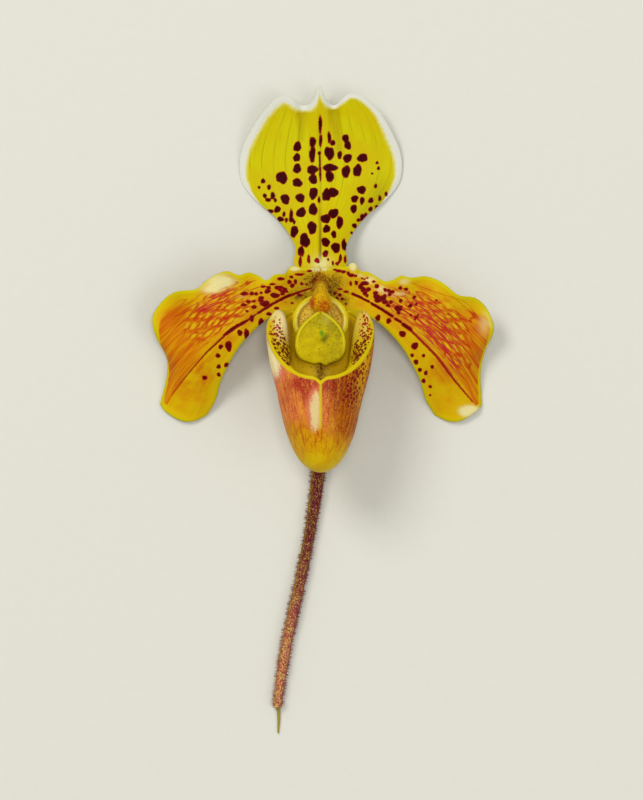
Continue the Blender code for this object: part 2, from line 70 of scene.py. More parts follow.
# %% [markdown]
# An outline is drawn through a few points, its stations. The curve between them has to be
# smooth, or the petal's edge would show corners. This is the curve that animators use between
# keyframes: it passes through each station with the slope of the line between its neighbours.
# numpy works it out for all the points of a grid at once.

# %% Curves and soft steps
def ease(start, end, value):
    """0 before start, 1 after end, smooth between."""
    share = np.clip((np.asarray(value, float) - start) / (end - start), 0.0, 1.0)
    return share * share * (3 - 2 * share)


def bump(value, centre, width):
    """A smooth hill of height 1."""
    return np.exp(-(((value - centre) / width) ** 2))


def mix(a, b, share):
    return a + (b - a) * share


def curve(stations, key):
    """The values at key through stations (key, value, ...), one array for each value."""
    table = np.array(stations, float)
    last = len(table) - 1
    index = np.clip(np.searchsorted(table[:, 0], key) - 1, 0, last - 1)
    first, second = table[index], table[index + 1]
    before = table[np.maximum(index - 1, 0)]
    after = table[np.minimum(index + 2, last)]
    gap = (second - first)[..., :1]
    share = np.clip((np.asarray(key, float)[..., None] - first[..., :1]) / gap, 0.0, 1.0)
    slope_in = (second - before) / (second - before)[..., :1] * gap
    slope_out = (after - first) / (after - first)[..., :1] * gap
    values = (
        first * (2 * share**3 - 3 * share**2 + 1)
        + slope_in * (share**3 - 2 * share**2 + share)
        + second * (3 * share**2 - 2 * share**3)
        + slope_out * (share**3 - share**2)
    )
    values = np.moveaxis(values[..., 1:], -1, 0)
    return values if len(values) > 1 else values[0]


def keyed_by_length(points):
    """Stations (share of the length, x, y) for a line through points."""
    lengths = [0.0]
    for a, b in zip(points, points[1:]):
        lengths.append(lengths[-1] + math.dist(a, b))
    return [(length / lengths[-1], *point) for length, point in zip(lengths, points)]


arch = ((0.0, 0.0), (0.5, 1.0), (1.0, 0.0))
print("a quarter along an arch of height 1 its curve is at", round(float(curve(arch, 0.25)), 2))

# %% [markdown]
# The grid itself comes from bmesh's create_grid, which also gives it a UV map, the u and v of
# each corner. That map stays with the surface however it is bent, so veins that follow the
# petal can be painted on it later. lift adds low relief, such as a sunken vein, by moving each
# point a little along its own normal.

# %% Bent grids
def read_vectors(items, name):
    flat = np.empty(len(items) * 3, np.float32)
    items.foreach_get(name, flat)
    return flat.reshape(-1, 3)


def get_points(mesh):
    return read_vectors(mesh.vertices, "co") / MM - TO_ORIGIN


def put_points(mesh, points):
    flat = ((points + TO_ORIGIN) * MM).astype(np.float32)
    mesh.vertices.foreach_set("co", flat.ravel())
    mesh.update()


def new_mesh(name, build):
    """A mesh with what build puts into an empty bmesh."""
    bm = bmesh.new()
    build(bm)
    mesh = bpy.data.meshes.new(name)
    bm.to_mesh(mesh)
    bm.free()
    return mesh


def bent_grid(name, columns, rows, shape):
    """A mesh whose points lie at shape(u, v), and the u and v of its points."""

    def flat_grid(bm):
        bm.loops.layers.uv.new("UVMap")
        bmesh.ops.create_grid(bm, x_segments=columns, y_segments=rows, size=0.5, calc_uvs=True)

    mesh = new_mesh(name, flat_grid)
    u, v = np.clip(read_vectors(mesh.vertices, "co")[:, :2].T.astype(float) + 0.5, 0.0, 1.0)
    put_points(mesh, np.stack(np.broadcast_arrays(*shape(u, v)), axis=1))
    return mesh, u, v


def lift(mesh, heights):
    """Moves each point along its normal by its height in millimetres."""
    put_points(mesh, get_points(mesh) + read_vectors(mesh.vertex_normals, "vector") * heights[:, None])


trial, u, v = bent_grid("trial", 4, 4, lambda u, v: (10 * v, 20 * u, 3 * v))
print("a trial of", len(trial.vertices), "points is", np.ptp(get_points(trial), axis=0).round(1), "mm")

# %% [markdown]
# A bent grid isn't always a closed, outward surface yet. The grid of a petal may face down,
# and one that is rolled into a tube has a seam along its side and a pole or a hole at its ends.
# bmesh mends all of these: it welds points that lie on each other, fills holes and turns faces.

# %% Seams, poles and sides
WELD = 2e-6  # metres


def rework(mesh, *works):
    """Runs each of the works on the mesh's bmesh."""
    bm = bmesh.new()
    bm.from_mesh(mesh)
    for work in works:
        work(bm)
    bm.to_mesh(mesh)
    bm.free()


def face_up(bm):
    bm.normal_update()
    if sum(face.normal.z * face.calc_area() for face in bm.faces) < 0:
        bmesh.ops.reverse_faces(bm, faces=bm.faces[:])


def close(bm):
    """Joins a rolled-up grid along its seam and at its poles, and turns its faces outwards."""
    bmesh.ops.remove_doubles(bm, verts=bm.verts[:], dist=WELD)
    bmesh.ops.dissolve_degenerate(bm, edges=bm.edges[:], dist=WELD)
    bmesh.ops.recalc_face_normals(bm, faces=bm.faces[:])


def fill_ends(bm):
    bmesh.ops.holes_fill(bm, edges=[edge for edge in bm.edges if edge.is_boundary], sides=0)
    bmesh.ops.recalc_face_normals(bm, faces=bm.faces[:])


print("the trial grid faces up:", trial.polygons[0].normal.z > 0)
rework(trial, face_up)
print("and after face_up:", trial.polygons[0].normal.z > 0)
bpy.data.meshes.remove(trial)

# %% [markdown]
# The markings are measured on the flat view of the flower and kept on the mesh as marks, one
# number for each point: how far it is from the nearest spot's edge, or from the margin. A
# material then turns that distance into a crisp or a soft edge. A painted image would do the
# same, but its pixels would show close up, and a distance stays sharp at any size.

# %% Marks on a mesh
def add_marks(mesh, **marks):
    """Keeps each mark on the mesh: a number for every point, or one for all of them."""
    for name, values in marks.items():
        layer = mesh.attributes.new(name, "FLOAT", "POINT")
        full = np.broadcast_to(values, len(mesh.vertices)).astype(np.float32)
        layer.data.foreach_set("value", full)


def mottle(points, size, seed):
    """Smooth noise from about -1 to 1, in patches of that size in millimetres."""
    away = Vector((17.3, 5.1, 9.7)) * seed
    return np.array([noise.noise(Vector(point) / size + away) for point in points])


def spot_distance(x, y, spots, seed, farthest=3.0):
    """Millimetres to the edge of the nearest spot (x, y, half width, half height)."""
    dice = random.Random(seed)
    nearest = np.full(len(x), farthest)
    for centre_x, centre_y, half_width, half_height in spots:
        across, up = (x - centre_x) / half_width, (y - centre_y) / half_height
        turn = np.arctan2(up, across)
        edge = 1.0 + 0.09 * np.sin(2 * turn + dice.uniform(0, 6.3))
        edge += 0.07 * np.sin(3 * turn + dice.uniform(0, 6.3))
        edge += 0.04 * np.sin(5 * turn + dice.uniform(0, 6.3))
        gap = (np.hypot(across, up) - edge) * min(half_width, half_height)
        nearest = np.minimum(nearest, gap)
    return nearest


def line_distance(x, y, line):
    """Millimetres to the edge of a line through points (x, y, half width)."""
    nearest = np.full(len(x), np.inf)
    for (ax, ay, a_half), (bx, by, b_half) in zip(line, line[1:]):
        run_x, run_y = bx - ax, by - ay
        share = ((x - ax) * run_x + (y - ay) * run_y) / (run_x**2 + run_y**2)
        share = np.clip(share, 0.0, 1.0)
        gap = np.hypot(x - ax - run_x * share, y - ay - run_y * share)
        nearest = np.minimum(nearest, gap - mix(a_half, b_half, share))
    return nearest


def patch(x, y, centre_x, centre_y, half_width, half_height):
    """A soft round patch, 1 in its middle and 0 well outside."""
    return bump(np.hypot((x - centre_x) / half_width, (y - centre_y) / half_height), 0.0, 1.0)


def patches(x, y, *places):
    """Soft patches (x, y, half width, half height, strength) laid together."""
    return np.clip(sum(place[4] * patch(x, y, *place[:4]) for place in places), 0.0, 1.0)


def at_start(share):
    return share < 1e-4


def at_end(share):
    return share > 1 - 1e-4


def margin_distance(points, on_margin):
    """Millimetres from each point to the nearest of those on the margin."""
    tree = kdtree.KDTree(int(on_margin.sum()))
    for index, point in enumerate(points[on_margin]):
        tree.insert(point, index)
    tree.balance()
    return np.array([tree.find(point)[2] for point in points])


gaps = spot_distance(np.array([0.0, 3.0]), np.zeros(2), ((0.0, 0.0, 1.0, 1.0),), 1)
print("the middle of a spot and a point 3 mm off are", gaps.round(1), "mm from its edge")

# %% [markdown]
# A material in Blender is a web of nodes. Each node is made, its sockets are set or linked, and
# one of its outputs goes on to the next. A few short names for these steps make a recipe easy
# to read: maths, times and step turn numbers into others, and a text names a mark of the mesh.

# %% Short names for nodes
def screen(red, green, blue):
    """A colour as seen on a screen, from 0 to 255, as linear light."""
    linear = [(c / 255 / 12.92) if c <= 10 else ((c / 255 + 0.055) / 1.055) ** 2.4
              for c in (red, green, blue)]
    return (*linear, 1.0)


class NodeBox:
    """A Principled material and the nodes that lead to it."""

    def __init__(self, name):
        self.material = bpy.data.materials.new(name)
        self.material.use_nodes = True
        self.tree = self.material.node_tree
        self.shader = self.tree.nodes["Principled BSDF"]
        self.marks = {}

    def node(self, kind, **settings):
        made = self.tree.nodes.new(kind)
        for name, value in settings.items():
            setattr(made, name, value)
        return made

    def mark(self, name):
        if name not in self.marks:
            self.marks[name] = self.node("ShaderNodeAttribute", attribute_name=name).outputs["Fac"]
        return self.marks[name]

    def put(self, socket, value):
        if isinstance(value, str):
            value = self.mark(value)
        if isinstance(value, bpy.types.NodeSocket):
            self.tree.links.new(value, socket)
        else:
            socket.default_value = screen(*value) if socket.type == "RGBA" else value

    def fill(self, node, **inputs):
        """Puts values into the node's inputs, with _ for a space in their names."""
        for name, value in inputs.items():
            self.put(node.inputs[name.replace("_", " ")], value)
        return node

    def maths(self, kind, *values):
        made = self.node("ShaderNodeMath", operation=kind)
        for socket, value in zip(made.inputs, values):
            self.put(socket, value)
        return made.outputs[0]

    def add(self, first, second):
        return self.maths("ADD", first, second)

    def take(self, less, value):
        """value with less taken from it."""
        return self.maths("SUBTRACT", value, less)

    def times_plus(self, value, factor, extra):
        return self.maths("MULTIPLY_ADD", value, factor, extra)

    def times(self, *values):
        product = values[0]
        for value in values[1:]:
            product = self.maths("MULTIPLY", product, value)
        return product

    def step(self, value, start, end, low=0.0, high=1.0):
        """low before start, high after end, smooth between. start may be the larger."""
        made = self.node("ShaderNodeMapRange", interpolation_type="SMOOTHSTEP")
        if start > end:
            start, end, low, high = end, start, high, low
        self.fill(made, Value=value, From_Min=start, From_Max=end, To_Min=low, To_Max=high)
        return made.outputs["Result"]


print("white is", screen(255, 255, 255), "and mid grey", round(screen(128, 128, 128)[0], 2))

# %% [markdown]
# The flower is painted as porcelain is: a ground colour, then washes, then veins, then spots.
# Noise gives the washes their clouds. Stretched along the petal it gives streaks, cells give
# freckles, and two families of waves that cross give a net of veins. A flat image would look
# the same from afar, but these patterns stay crisp close up and run on round to the back.

# %% A paint box
WAVE_UNIT = 2 * math.pi / 20  # the scale at which a wave texture has one band to a unit


class Paint(NodeBox):
    """A material that is built up in layers."""

    def __init__(self, name):
        super().__init__(name)
        self.flat = self.spread((1.0, 1.0, 1.0), "Object")
        self.colour = None

    def spread(self, scale, source="UV", turn=0.0):
        """Coordinates stretched by scale. Object ones are in millimetres before that."""
        where = source
        if isinstance(source, str):
            where = self.node("ShaderNodeTexCoord").outputs[source]
        unit = 1 / MM if source == "Object" else 1.0
        scale = tuple(unit * s for s in scale)
        made = self.node("ShaderNodeMapping")
        return self.fill(made, Vector=where, Scale=scale, Rotation=(0.0, 0.0, turn)).outputs["Vector"]

    def vein_lines(self):
        """Coordinates from the marks reach, in millimetres, and fan, from vein to vein."""
        made = self.node("ShaderNodeCombineXYZ")
        return self.fill(made, X="reach", Y="fan", Z="side").outputs["Vector"]

    def cloud(self, size, detail=3.0, rough=0.6, bend=0.0, where=None):
        """Noise from 0 to 1 with features about size across."""
        made = self.node("ShaderNodeTexNoise")
        self.fill(made, Vector=self.flat if where is None else where, Scale=1.0 / size)
        return self.fill(made, Detail=detail, Roughness=rough, Distortion=bend).outputs["Fac"]

    def streaks(self, scale, detail=3.0, rough=0.6, bend=0.0, where="UV"):
        """Noise that is drawn out along a surface."""
        return self.cloud(1.0, detail, rough, bend, self.spread((*scale, 1.0), where))

    def cells(self, size):
        """Distance to the nearest of points about size apart, as a share of it."""
        made = self.node("ShaderNodeTexVoronoi", feature="F1")
        self.fill(made, Vector=self.flat, Scale=1.0 / size, Randomness=1.0)
        return made.outputs["Distance"]

    def freckles(self, spacing, radius, grain):
        """1 in dots of that radius, as a share of the spacing in millimetres between them."""
        gap = self.times_plus(grain, 0.2, self.take(0.1, self.cells(spacing)))
        return self.step(self.take(radius, gap), 0.05, -0.05)

    def lattice(self, along, across, bend, source="UV"):
        """Fades from 0 on the lines of a net of lozenges to 1 inside them."""
        families = []
        for turn in (math.pi / 4, -math.pi / 4):
            made = self.node("ShaderNodeTexWave", bands_direction="Y")
            where = self.spread((along * math.sqrt(2), across * math.sqrt(2), 1.0), source, turn)
            self.fill(made, Vector=where, Scale=WAVE_UNIT, Distortion=bend)
            self.fill(made, Detail=2.0, Detail_Scale=0.6 / WAVE_UNIT)
            families.append(made.outputs["Fac"])
        return self.maths("MINIMUM", *families)

    def layer(self, under, over, share):
        """over laid on under where share is 1."""
        made = self.node("ShaderNodeMix", data_type="RGBA", clamp_factor=True)
        return self.fill(made, Factor=share, A=under, B=over).outputs["Result"]

    def ground(self, first, second, share):
        self.colour = self.layer(first, second, share)

    def lay(self, over, *shares):
        """Lays over on what is painted so far, by the product of the shares."""
        self.colour = self.layer(self.colour, over, self.times(*shares))

    def emboss(self, height, depth):
        """Bump of that depth in millimetres."""
        made = self.fill(self.node("ShaderNodeBump"), Height=height, Distance=depth * MM)
        return made.outputs["Normal"]

    def done(self, roughness, normal=None, shine=0.3, coat=0.0):
        self.fill(self.shader, Base_Color=self.colour, Roughness=roughness)
        self.fill(self.shader, Specular_IOR_Level=shine, Coat_Weight=coat, Coat_Roughness=0.2)
        if normal is not None:
            self.fill(self.shader, Normal=normal)
        print("material", self.material.name, "has", len(self.tree.nodes), "nodes")
        return self.material


# %% [markdown]
# A finished piece is an object at the origin with its place in its mesh. It rides on the
# part's one body and stands for a plain solid of the frame.
# Sheets get their thickness from a Solidify modifier, which copies every mark to the back and
# gives the back the second material. A weight painted from the margin inwards makes the edge
# as thin as a real petal's.

# %% Finishing a piece
PETAL_EDGE = 0.35  # thickness at the margin, as a share of the middle's
WEIGHT_LEVELS = 40


def show(name, mesh, materials, slot, *nodes):
    mesh.shade_smooth()
    for material in materials:
        mesh.materials.append(material)
    piece = bpy.data.objects.new(name, mesh)
    bpy.context.scene.collection.objects.link(piece)
    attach(piece, "root")
    if nodes:
        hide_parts(*nodes)
    print(name, "has", len(mesh.polygons), "faces")
    return piece


def thicken(piece, thickness, edge=None, taper=4.0):
    """Gives a sheet its thickness behind its front, less where edge is under taper."""
    wall = piece.modifiers.new("thickness", "SOLIDIFY")
    wall.thickness = thickness * MM
    wall.offset = -1.0
    wall.material_offset = 1
    if edge is not None:
        group = piece.vertex_groups.new(name="full_thickness")
        weights = mix(PETAL_EDGE, 1.0, ease(0.0, taper, edge))
        levels = np.round(weights * WEIGHT_LEVELS).astype(int)
        for level in np.unique(levels):
            group.add(np.nonzero(levels == level)[0].tolist(), level / WEIGHT_LEVELS, "REPLACE")
        wall.vertex_group = group.name


# %% [markdown]
# The upper sepal stands above the other pieces. Its side margins roll back low down, its top
# margin dips on both sides of a small beak, and two folds run down from the dips. The outline
# has two families of stations: the half width up the side, and the height along the top. The
# grid's rows start level and bend towards the top margin as they rise.

# %% Upper sepal: shape
SEPAL_BASE_Y = 0.4
SEPAL_CORNER_Y = 54.5  # where the side margin turns into the top margin
SEPAL_SIDE = (  # y of the side margin, half width
    (0.4, 4.2), (4.0, 7.4), (7.0, 8.5), (11.5, 8.1), (16.0, 10.2), (21.5, 14.6),
    (27.0, 21.0), (32.0, 25.0), (37.0, 26.1), (43.0, 25.2), (49.0, 22.4), (54.5, 19.0),
)
SEPAL_TOP = (  # x along the top margin, y
    (-19.0, 54.3), (-15.0, 58.4), (-12.0, 59.9), (-8.8, 59.1), (-5.4, 57.0), (-2.6, 58.6),
    (-0.4, 63.3), (1.8, 59.2), (4.3, 57.1), (6.4, 58.9), (9.6, 60.7), (14.0, 59.3),
    (19.0, 54.6),
)
SEPAL_DIPS = (-5.4, 4.3)
SEPAL_DIP_WIDTH = 2.2
SEPAL_DIP_DEPTH = 1.8
SEPAL_BEAK_WIDTH = 1.8
SEPAL_BEAK_LIFT = 1.2
SEPAL_MIDDLE = (  # y, height along the middle
    (0.4, SEPAL_FACE), (4.5, SEPAL_FACE), (9.0, 12.4), (16.0, 8.6), (25.0, 5.2),
    (34.0, 3.3), (43.0, 3.0), (53.0, 4.6), (63.5, 8.0),
)
SEPAL_DROOP = (  # y, how far the side margins roll back
    (0.4, 0.0), (6.0, 1.2), (12.0, 3.6), (20.0, 3.9), (30.0, 3.1), (40.0, 1.5),
    (50.0, -0.6), (60.0, -1.4),
)


def upper_sepal_shape(u, v):
    across = 2 * u - 1
    side_y = mix(SEPAL_BASE_Y, SEPAL_CORNER_Y, v)
    x = across * curve(SEPAL_SIDE, side_y)
    top_y = curve(SEPAL_TOP, across * SEPAL_TOP[-1][0])
    y = mix(side_y, mix(SEPAL_BASE_Y, top_y, v), ease(0.0, 1.0, v))
    height = curve(SEPAL_MIDDLE, y) - curve(SEPAL_DROOP, y) * np.abs(across) ** 2.2
    crest = v**7
    height += SEPAL_BEAK_LIFT * crest * bump(x, 0.0, SEPAL_BEAK_WIDTH)
    for dip in SEPAL_DIPS:
        height -= SEPAL_DIP_DEPTH * crest * bump(x, dip, SEPAL_DIP_WIDTH)
    return x, y, height


sepal_mesh, u, v = bent_grid("upper_sepal", 180, 190, upper_sepal_shape)
rework(sepal_mesh, face_up)
sepal_points = get_points(sepal_mesh)
print("upper sepal", np.ptp(sepal_points, axis=0).round(1), "mm")

# %% [markdown]
# Thirteen veins run up the sepal. They start together at the base, spread with the blade and
# lean towards the beak again at the top. A vein coordinate does that: x divided by how far the
# outermost vein stands off at each height, so that each vein keeps one value all the way. The
# veins and the midrib are sunk into the mesh, and the material tints them from the same mark.

# %% Upper sepal: relief
SEPAL_VEIN_SPAN = (  # y, x of the outermost vein
    (0.4, 4.6), (8.0, 8.2), (13.0, 8.4), (21.5, 13.0), (30.0, 21.5), (38.0, 24.5),
    (46.0, 23.0), (54.0, 18.5), (60.0, 13.0), (63.5, 9.0),
)
SEPAL_VEINS_A_SIDE = 6.5
SEPAL_FOLDS = (  # lines of the folds below the dips: x, y, half width
    ((-5.9, 57.0, 0.9), (-6.0, 52.0, 0.5), (-6.2, 46.0, 0.1)),
    ((4.1, 57.5, 1.1), (4.7, 52.0, 0.8), (5.7, 46.0, 0.4), (6.0, 42.0, 0.1)),
)
x, y, z = sepal_points.T
vein_place = x / curve(SEPAL_VEIN_SPAN, y) * SEPAL_VEINS_A_SIDE
vein_line = np.cos(2 * np.pi * vein_place) ** 2 ** 3
sepal_edge = margin_distance(sepal_points, at_start(u) | at_end(u) | at_end(v))
sepal_fold = sum(ease(1.6, -0.6, line_distance(x, y, fold)) for fold in SEPAL_FOLDS)
midrib = bump(x + 0.1, 0.0, 0.45) * ease(58.0, 50.0, y)
relief = (
    -0.5 * sepal_fold * ease(0.5, 3.0, sepal_edge)
    - 0.32 * midrib
    + 0.22 * bump(np.abs(x), 1.7, 1.0) * ease(58.0, 45.0, y)
    - 0.05 * vein_line
    + 0.35 * mottle(sepal_points, 14.0, 1)
    - 0.25 * ease(1.6, 0.0, sepal_edge) * ease(20.0, 30.0, y)
)
lift(sepal_mesh, relief)
print("relief runs from", round(relief.min(), 2), "to", round(relief.max(), 2), "mm")

# %% [markdown]
# The spots sit in rows between the veins: large and round in the middle rows, small towards
# the sides, and crowded in the narrow neck. They are listed row by row, as they would be
# dotted on with a brush: where each one is, and half its width and height.

# %% Upper sepal: spots
SEPAL_SPOTS = (
    # Up the midrib
    (-0.1, 51.0, 0.45, 2.5), (0.0, 45.8, 0.42, 1.9), (-0.4, 41.8, 0.5, 0.55), (-0.5, 26.9, 0.35, 0.9),
    # First row on the left
    (-2.5, 45.3, 0.9, 1.7), (-2.6, 41.4, 0.95, 2.4), (-2.6, 36.5, 1.8, 1.25), (-2.4, 33.5, 1.35, 1.45),
    (-2.3, 28.9, 1.4, 1.75), (-2.4, 23.7, 1.45, 1.7), (-2.7, 17.8, 1.35, 2.0),
    # Second row on the left
    (-7.4, 43.9, 1.25, 1.45), (-7.6, 40.4, 1.15, 1.2), (-7.5, 36.9, 1.3, 1.4), (-7.4, 32.4, 1.6, 1.25),
    (-6.5, 27.5, 1.25, 1.5), (-6.2, 22.8, 1.45, 1.5), (-5.0, 13.8, 1.55, 2.1), (-8.4, 16.7, 1.2, 1.75),
    (-6.2, 10.3, 0.9, 1.6),
    # Third row on the left, and the small ones outside it
    (-12.4, 34.0, 1.65, 2.0), (-11.3, 27.1, 1.4, 1.55), (-9.4, 22.0, 0.5, 1.6), (-9.3, 20.5, 0.8, 0.7),
    (-18.4, 32.9, 0.6, 0.75), (-19.7, 30.9, 0.4, 0.4), (-16.5, 31.0, 0.6, 0.7),
    (-17.8, 28.2, 0.55, 0.7), (-16.8, 26.9, 0.8, 0.6), (-15.3, 28.2, 0.7, 1.0),
    (-14.5, 26.8, 0.5, 0.6), (-13.8, 23.8, 1.0, 1.0), (-16.1, 23.2, 1.0, 0.6), (-12.8, 20.7, 0.9, 0.8),
    (-11.7, 22.3, 0.4, 0.7), (-10.9, 20.4, 0.4, 0.65), (-8.4, 19.7, 0.45, 0.55),
    # First row on the right
    (2.7, 46.8, 0.55, 1.6), (3.9, 45.1, 0.7, 0.8), (2.8, 41.8, 1.45, 2.1), (3.1, 37.2, 2.1, 1.2),
    (2.9, 34.4, 1.25, 1.8), (1.9, 28.4, 1.45, 1.8), (4.0, 29.2, 1.5, 1.6), (1.6, 20.7, 1.4, 1.5),
    (4.1, 22.5, 1.55, 1.5), (1.9, 17.4, 1.15, 1.2), (4.2, 15.7, 0.8, 1.1), (1.6, 13.1, 1.25, 1.4),
    (1.5, 9.4, 0.85, 0.95), (-1.1, 7.3, 0.7, 0.75),
    # Second row on the right
    (8.0, 46.5, 1.1, 1.2), (8.7, 44.3, 1.1, 1.2), (6.1, 41.2, 0.7, 1.1), (8.6, 40.2, 1.35, 1.3),
    (8.1, 35.9, 1.25, 1.9), (11.8, 36.3, 1.35, 1.85), (13.4, 40.3, 1.5, 1.4), (13.1, 30.1, 1.45, 1.15),
    (10.9, 27.2, 1.1, 1.1), (13.3, 26.6, 0.75, 1.1), (10.6, 24.0, 1.05, 1.2), (6.1, 19.6, 1.1, 1.75),
    (4.8, 11.4, 1.25, 1.7), (7.5, 12.3, 0.8, 1.75),
    # The small ones on the right
    (18.1, 38.8, 0.4, 0.45), (18.5, 37.0, 0.45, 0.5), (16.5, 35.3, 0.3, 0.3), (17.6, 31.3, 0.45, 0.65),
    (16.1, 26.7, 0.75, 0.85), (18.9, 27.4, 0.5, 0.75), (21.0, 28.8, 0.45, 0.65),
    (16.0, 23.9, 0.6, 0.8), (18.0, 24.6, 0.55, 0.6), (13.4, 21.3, 0.7, 1.0), (12.2, 20.4, 0.55, 0.55),
    (10.9, 18.6, 0.7, 0.75), (14.4, 22.0, 0.5, 0.7), (10.0, 16.3, 0.35, 0.4),
    # Flecks at the base
    (-6.5, 7.1, 0.5, 1.4), (-3.8, 7.7, 0.42, 1.2), (6.3, 8.1, 0.45, 0.9), (7.8, 7.7, 0.35, 0.9),
    (5.3, 6.3, 0.55, 0.45), (3.9, 6.5, 0.3, 0.55), (2.4, 7.6, 0.25, 0.3), (5.9, 6.9, 0.3, 0.4),
)
SEPAL_MIDRIB_LINE = ((-0.3, 41.0, 0.16), (-0.2, 38.0, 0.2), (-0.1, 35.0, 0.3), (0.0, 33.0, 0.12))
spot = np.minimum(spot_distance(x, y, SEPAL_SPOTS, 4), line_distance(x, y, SEPAL_MIDRIB_LINE))
add_marks(sepal_mesh, spot=spot)
print(len(SEPAL_SPOTS), "spots, the largest", 2 * max(max(s[2:]) for s in SEPAL_SPOTS), "mm long")

# %% [markdown]
# The white border is widest at the shoulders, thins over the dips and fades out below the
# widest place. Its inner edge is soft. So the border is a mark of its own: the distance from
# the margin, measured against a width that changes with height.

# %% Upper sepal: border and washes
BORDER_WIDTH = (  # y, width of the white border
    (0.0, 0.01), (24.0, 0.01), (28.5, 0.7), (33.0, 1.6), (40.0, 2.1), (50.0, 2.2),
    (56.0, 2.2), (60.5, 1.9), (64.0, 1.7),
)
width = curve(BORDER_WIDTH, y) * mix(1.15, 0.75, ease(-6.0, 10.0, x) * ease(45.0, 56.0, y))
width -= 0.85 * sum(bump(x, dip, 2.6) for dip in SEPAL_DIPS) * ease(50.0, 55.0, y)
width -= 0.5 * bump(x, -0.4, 2.2) * ease(55.0, 58.0, y)
add_marks(
    sepal_mesh, border=sepal_edge / np.maximum(width, 0.01), vein=vein_place, height=y,
    # fold also places painted shade in the creases below the dips
    midrib=midrib * ease(30.0, 12.0, y), fold=sepal_fold, cream=patch(x, y, 0.3, 6.2, 2.6, 2.2),
    # Painted shade: darker olive on the lower right of the blade.
    dusk=patch(x, y, 19.0, 27.5, 3.5, 6.5) + 0.7 * patch(x, y, 14.0, 21.0, 3.0, 4.5),
)
print("the white border is up to", round(width.max(), 1), "mm wide")

# %% [markdown]
# The front is greenish yellow, streaked along the blade, with the veins drawn thinly over it.
# A spot of the real flower is darkest in its middle and bleeds a little into the skin round
# it, so each one gets a redder rim and an edge that a fine noise makes slightly ragged.

# %% Upper sepal: paint
SPOT_DARK = (58, 1, 4)
SPOT_RIM = (126, 8, 12)
SPOT_SPREAD = 0.1  # how far the paint of a spot runs out


def dot_on(paint, grain, softness, dark=SPOT_DARK, rim=SPOT_RIM):
    """Lays the spots on, with a redder rim and a slightly ragged edge."""
    distance = paint.add("spot", paint.times_plus(grain, 0.45, -0.22))
    distance = paint.take(SPOT_SPREAD, distance)
    inside = paint.layer(rim, dark, paint.step(distance, -0.08, -0.38))
    paint.lay(inside, paint.step(distance, softness, -softness / 2))


def sepal_front():
    paint = Paint("upper_sepal_front")
    streaks = paint.streaks((60.0, 3.0))
    clouds = paint.cloud(9.0, 3.0, 0.5)
    grain = paint.cloud(0.9)
    paint.ground((205, 184, 5), (206, 196, 6), paint.step(clouds, 0.35, 0.65))
    paint.lay((186, 172, 4), paint.step(streaks, 0.5, 0.72), 0.5)
    paint.lay((212, 184, 8), paint.step("height", 26.0, 6.0), 0.6)
    near_vein = paint.maths("PINGPONG", "vein", 0.5)
    vein = paint.times(paint.step(near_vein, 0.08, 0.01), paint.step(clouds, 0.42, 0.62))
    paint.lay((120, 112, 6), vein, 0.38)
    # Painted shade in the creases that run down from the dips.
    paint.lay((150, 132, 10), "fold", 0.45)
    paint.lay((104, 74, 8), "midrib", 0.75)
    # Painted shade, darker olive, on the lower right of the blade.
    paint.lay((160, 146, 12), "dusk", 0.55)
    paint.lay((226, 216, 140), "cream")
    border = paint.add("border", paint.times_plus(grain, 0.5, -0.25))
    paint.lay((222, 212, 110), paint.step(border, 1.45, 0.95))
    paint.lay((224, 223, 208), paint.step(border, 1.1, 0.75))
    base_red = paint.times(paint.step("height", 11.0, 7.0), paint.step(clouds, 0.4, 0.6, 0.4, 1.0))
    dark = paint.layer(SPOT_DARK, (148, 16, 32), base_red)
    dot_on(paint, grain, 0.16, dark)
    ridges = paint.add(paint.times(streaks, 0.7), paint.times(grain, 0.3))
    return paint.done(paint.step(grain, 0.3, 0.7, 0.45, 0.6), paint.emboss(ridges, 0.10), 0.04)


def sepal_back():
    paint = Paint("upper_sepal_back")
    streaks = paint.streaks((60.0, 3.0))
    grain = paint.cloud(1.2, 4.0, 0.6)
    paint.ground((176, 176, 60), (150, 160, 52), streaks)
    near_vein = paint.maths("PINGPONG", "vein", 0.5)
    paint.lay((112, 122, 40), paint.step(near_vein, 0.1, 0.02), 0.7)
    paint.lay((226, 225, 205), paint.step("border", 1.5, 0.8))
    paint.lay((110, 74, 44), paint.step("spot", 0.3, -0.4), 0.4)
    return paint.done(0.55, paint.emboss(paint.add(streaks, grain), 0.08), 0.25)


sepal_paints = (sepal_front(), sepal_back())
thicken(show("upper_sepal", sepal_mesh, sepal_paints, "sepal_yellow", "dorsal_sepal"), BLADE, sepal_edge)

# %% [markdown]
# The two petals hang like a moustache. Each has a midvein, a smooth lower margin and a long
# wavy upper margin, and each of these lines is a list of stations from the base outwards. The
# grid is stretched between them: its middle row follows the midvein. Lines across the petal
# lean back towards the base, because a petal's side veins run forward from its base.

# %% Petals: shape
PETAL_VEIN = (
    (0.0, -0.6), (6.0, -2.4), (14.0, -5.8), (22.5, -10.6), (31.0, -16.9), (40.3, -26.2),
    (46.6, -34.4), (49.9, -40.6),
)
PETAL_LOWER = (
    (0.0, -3.6), (7.0, -8.8), (12.6, -9.8), (18.4, -12.4), (26.0, -20.2), (31.4, -30.0),
    (33.6, -37.2), (36.4, -41.8),
)
PETAL_END_SAG = 2.8  # how far the end margin curves out past its corners
PETAL_UPPER_LEFT = (
    (0.0, 4.7), (7.0, 5.2), (9.6, 5.5), (11.2, 3.2), (14.6, 2.8), (17.2, 1.0), (19.9, 2.5),
    (22.9, 3.5), (26.0, 2.7), (29.6, 3.9), (33.7, 2.7), (36.9, 0.5), (39.4, -1.7), (46.3, -2.7),
    (50.6, -5.6), (53.6, -10.6), (52.8, -15.9), (49.4, -23.0), (49.2, -29.0), (51.4, -38.4),
)
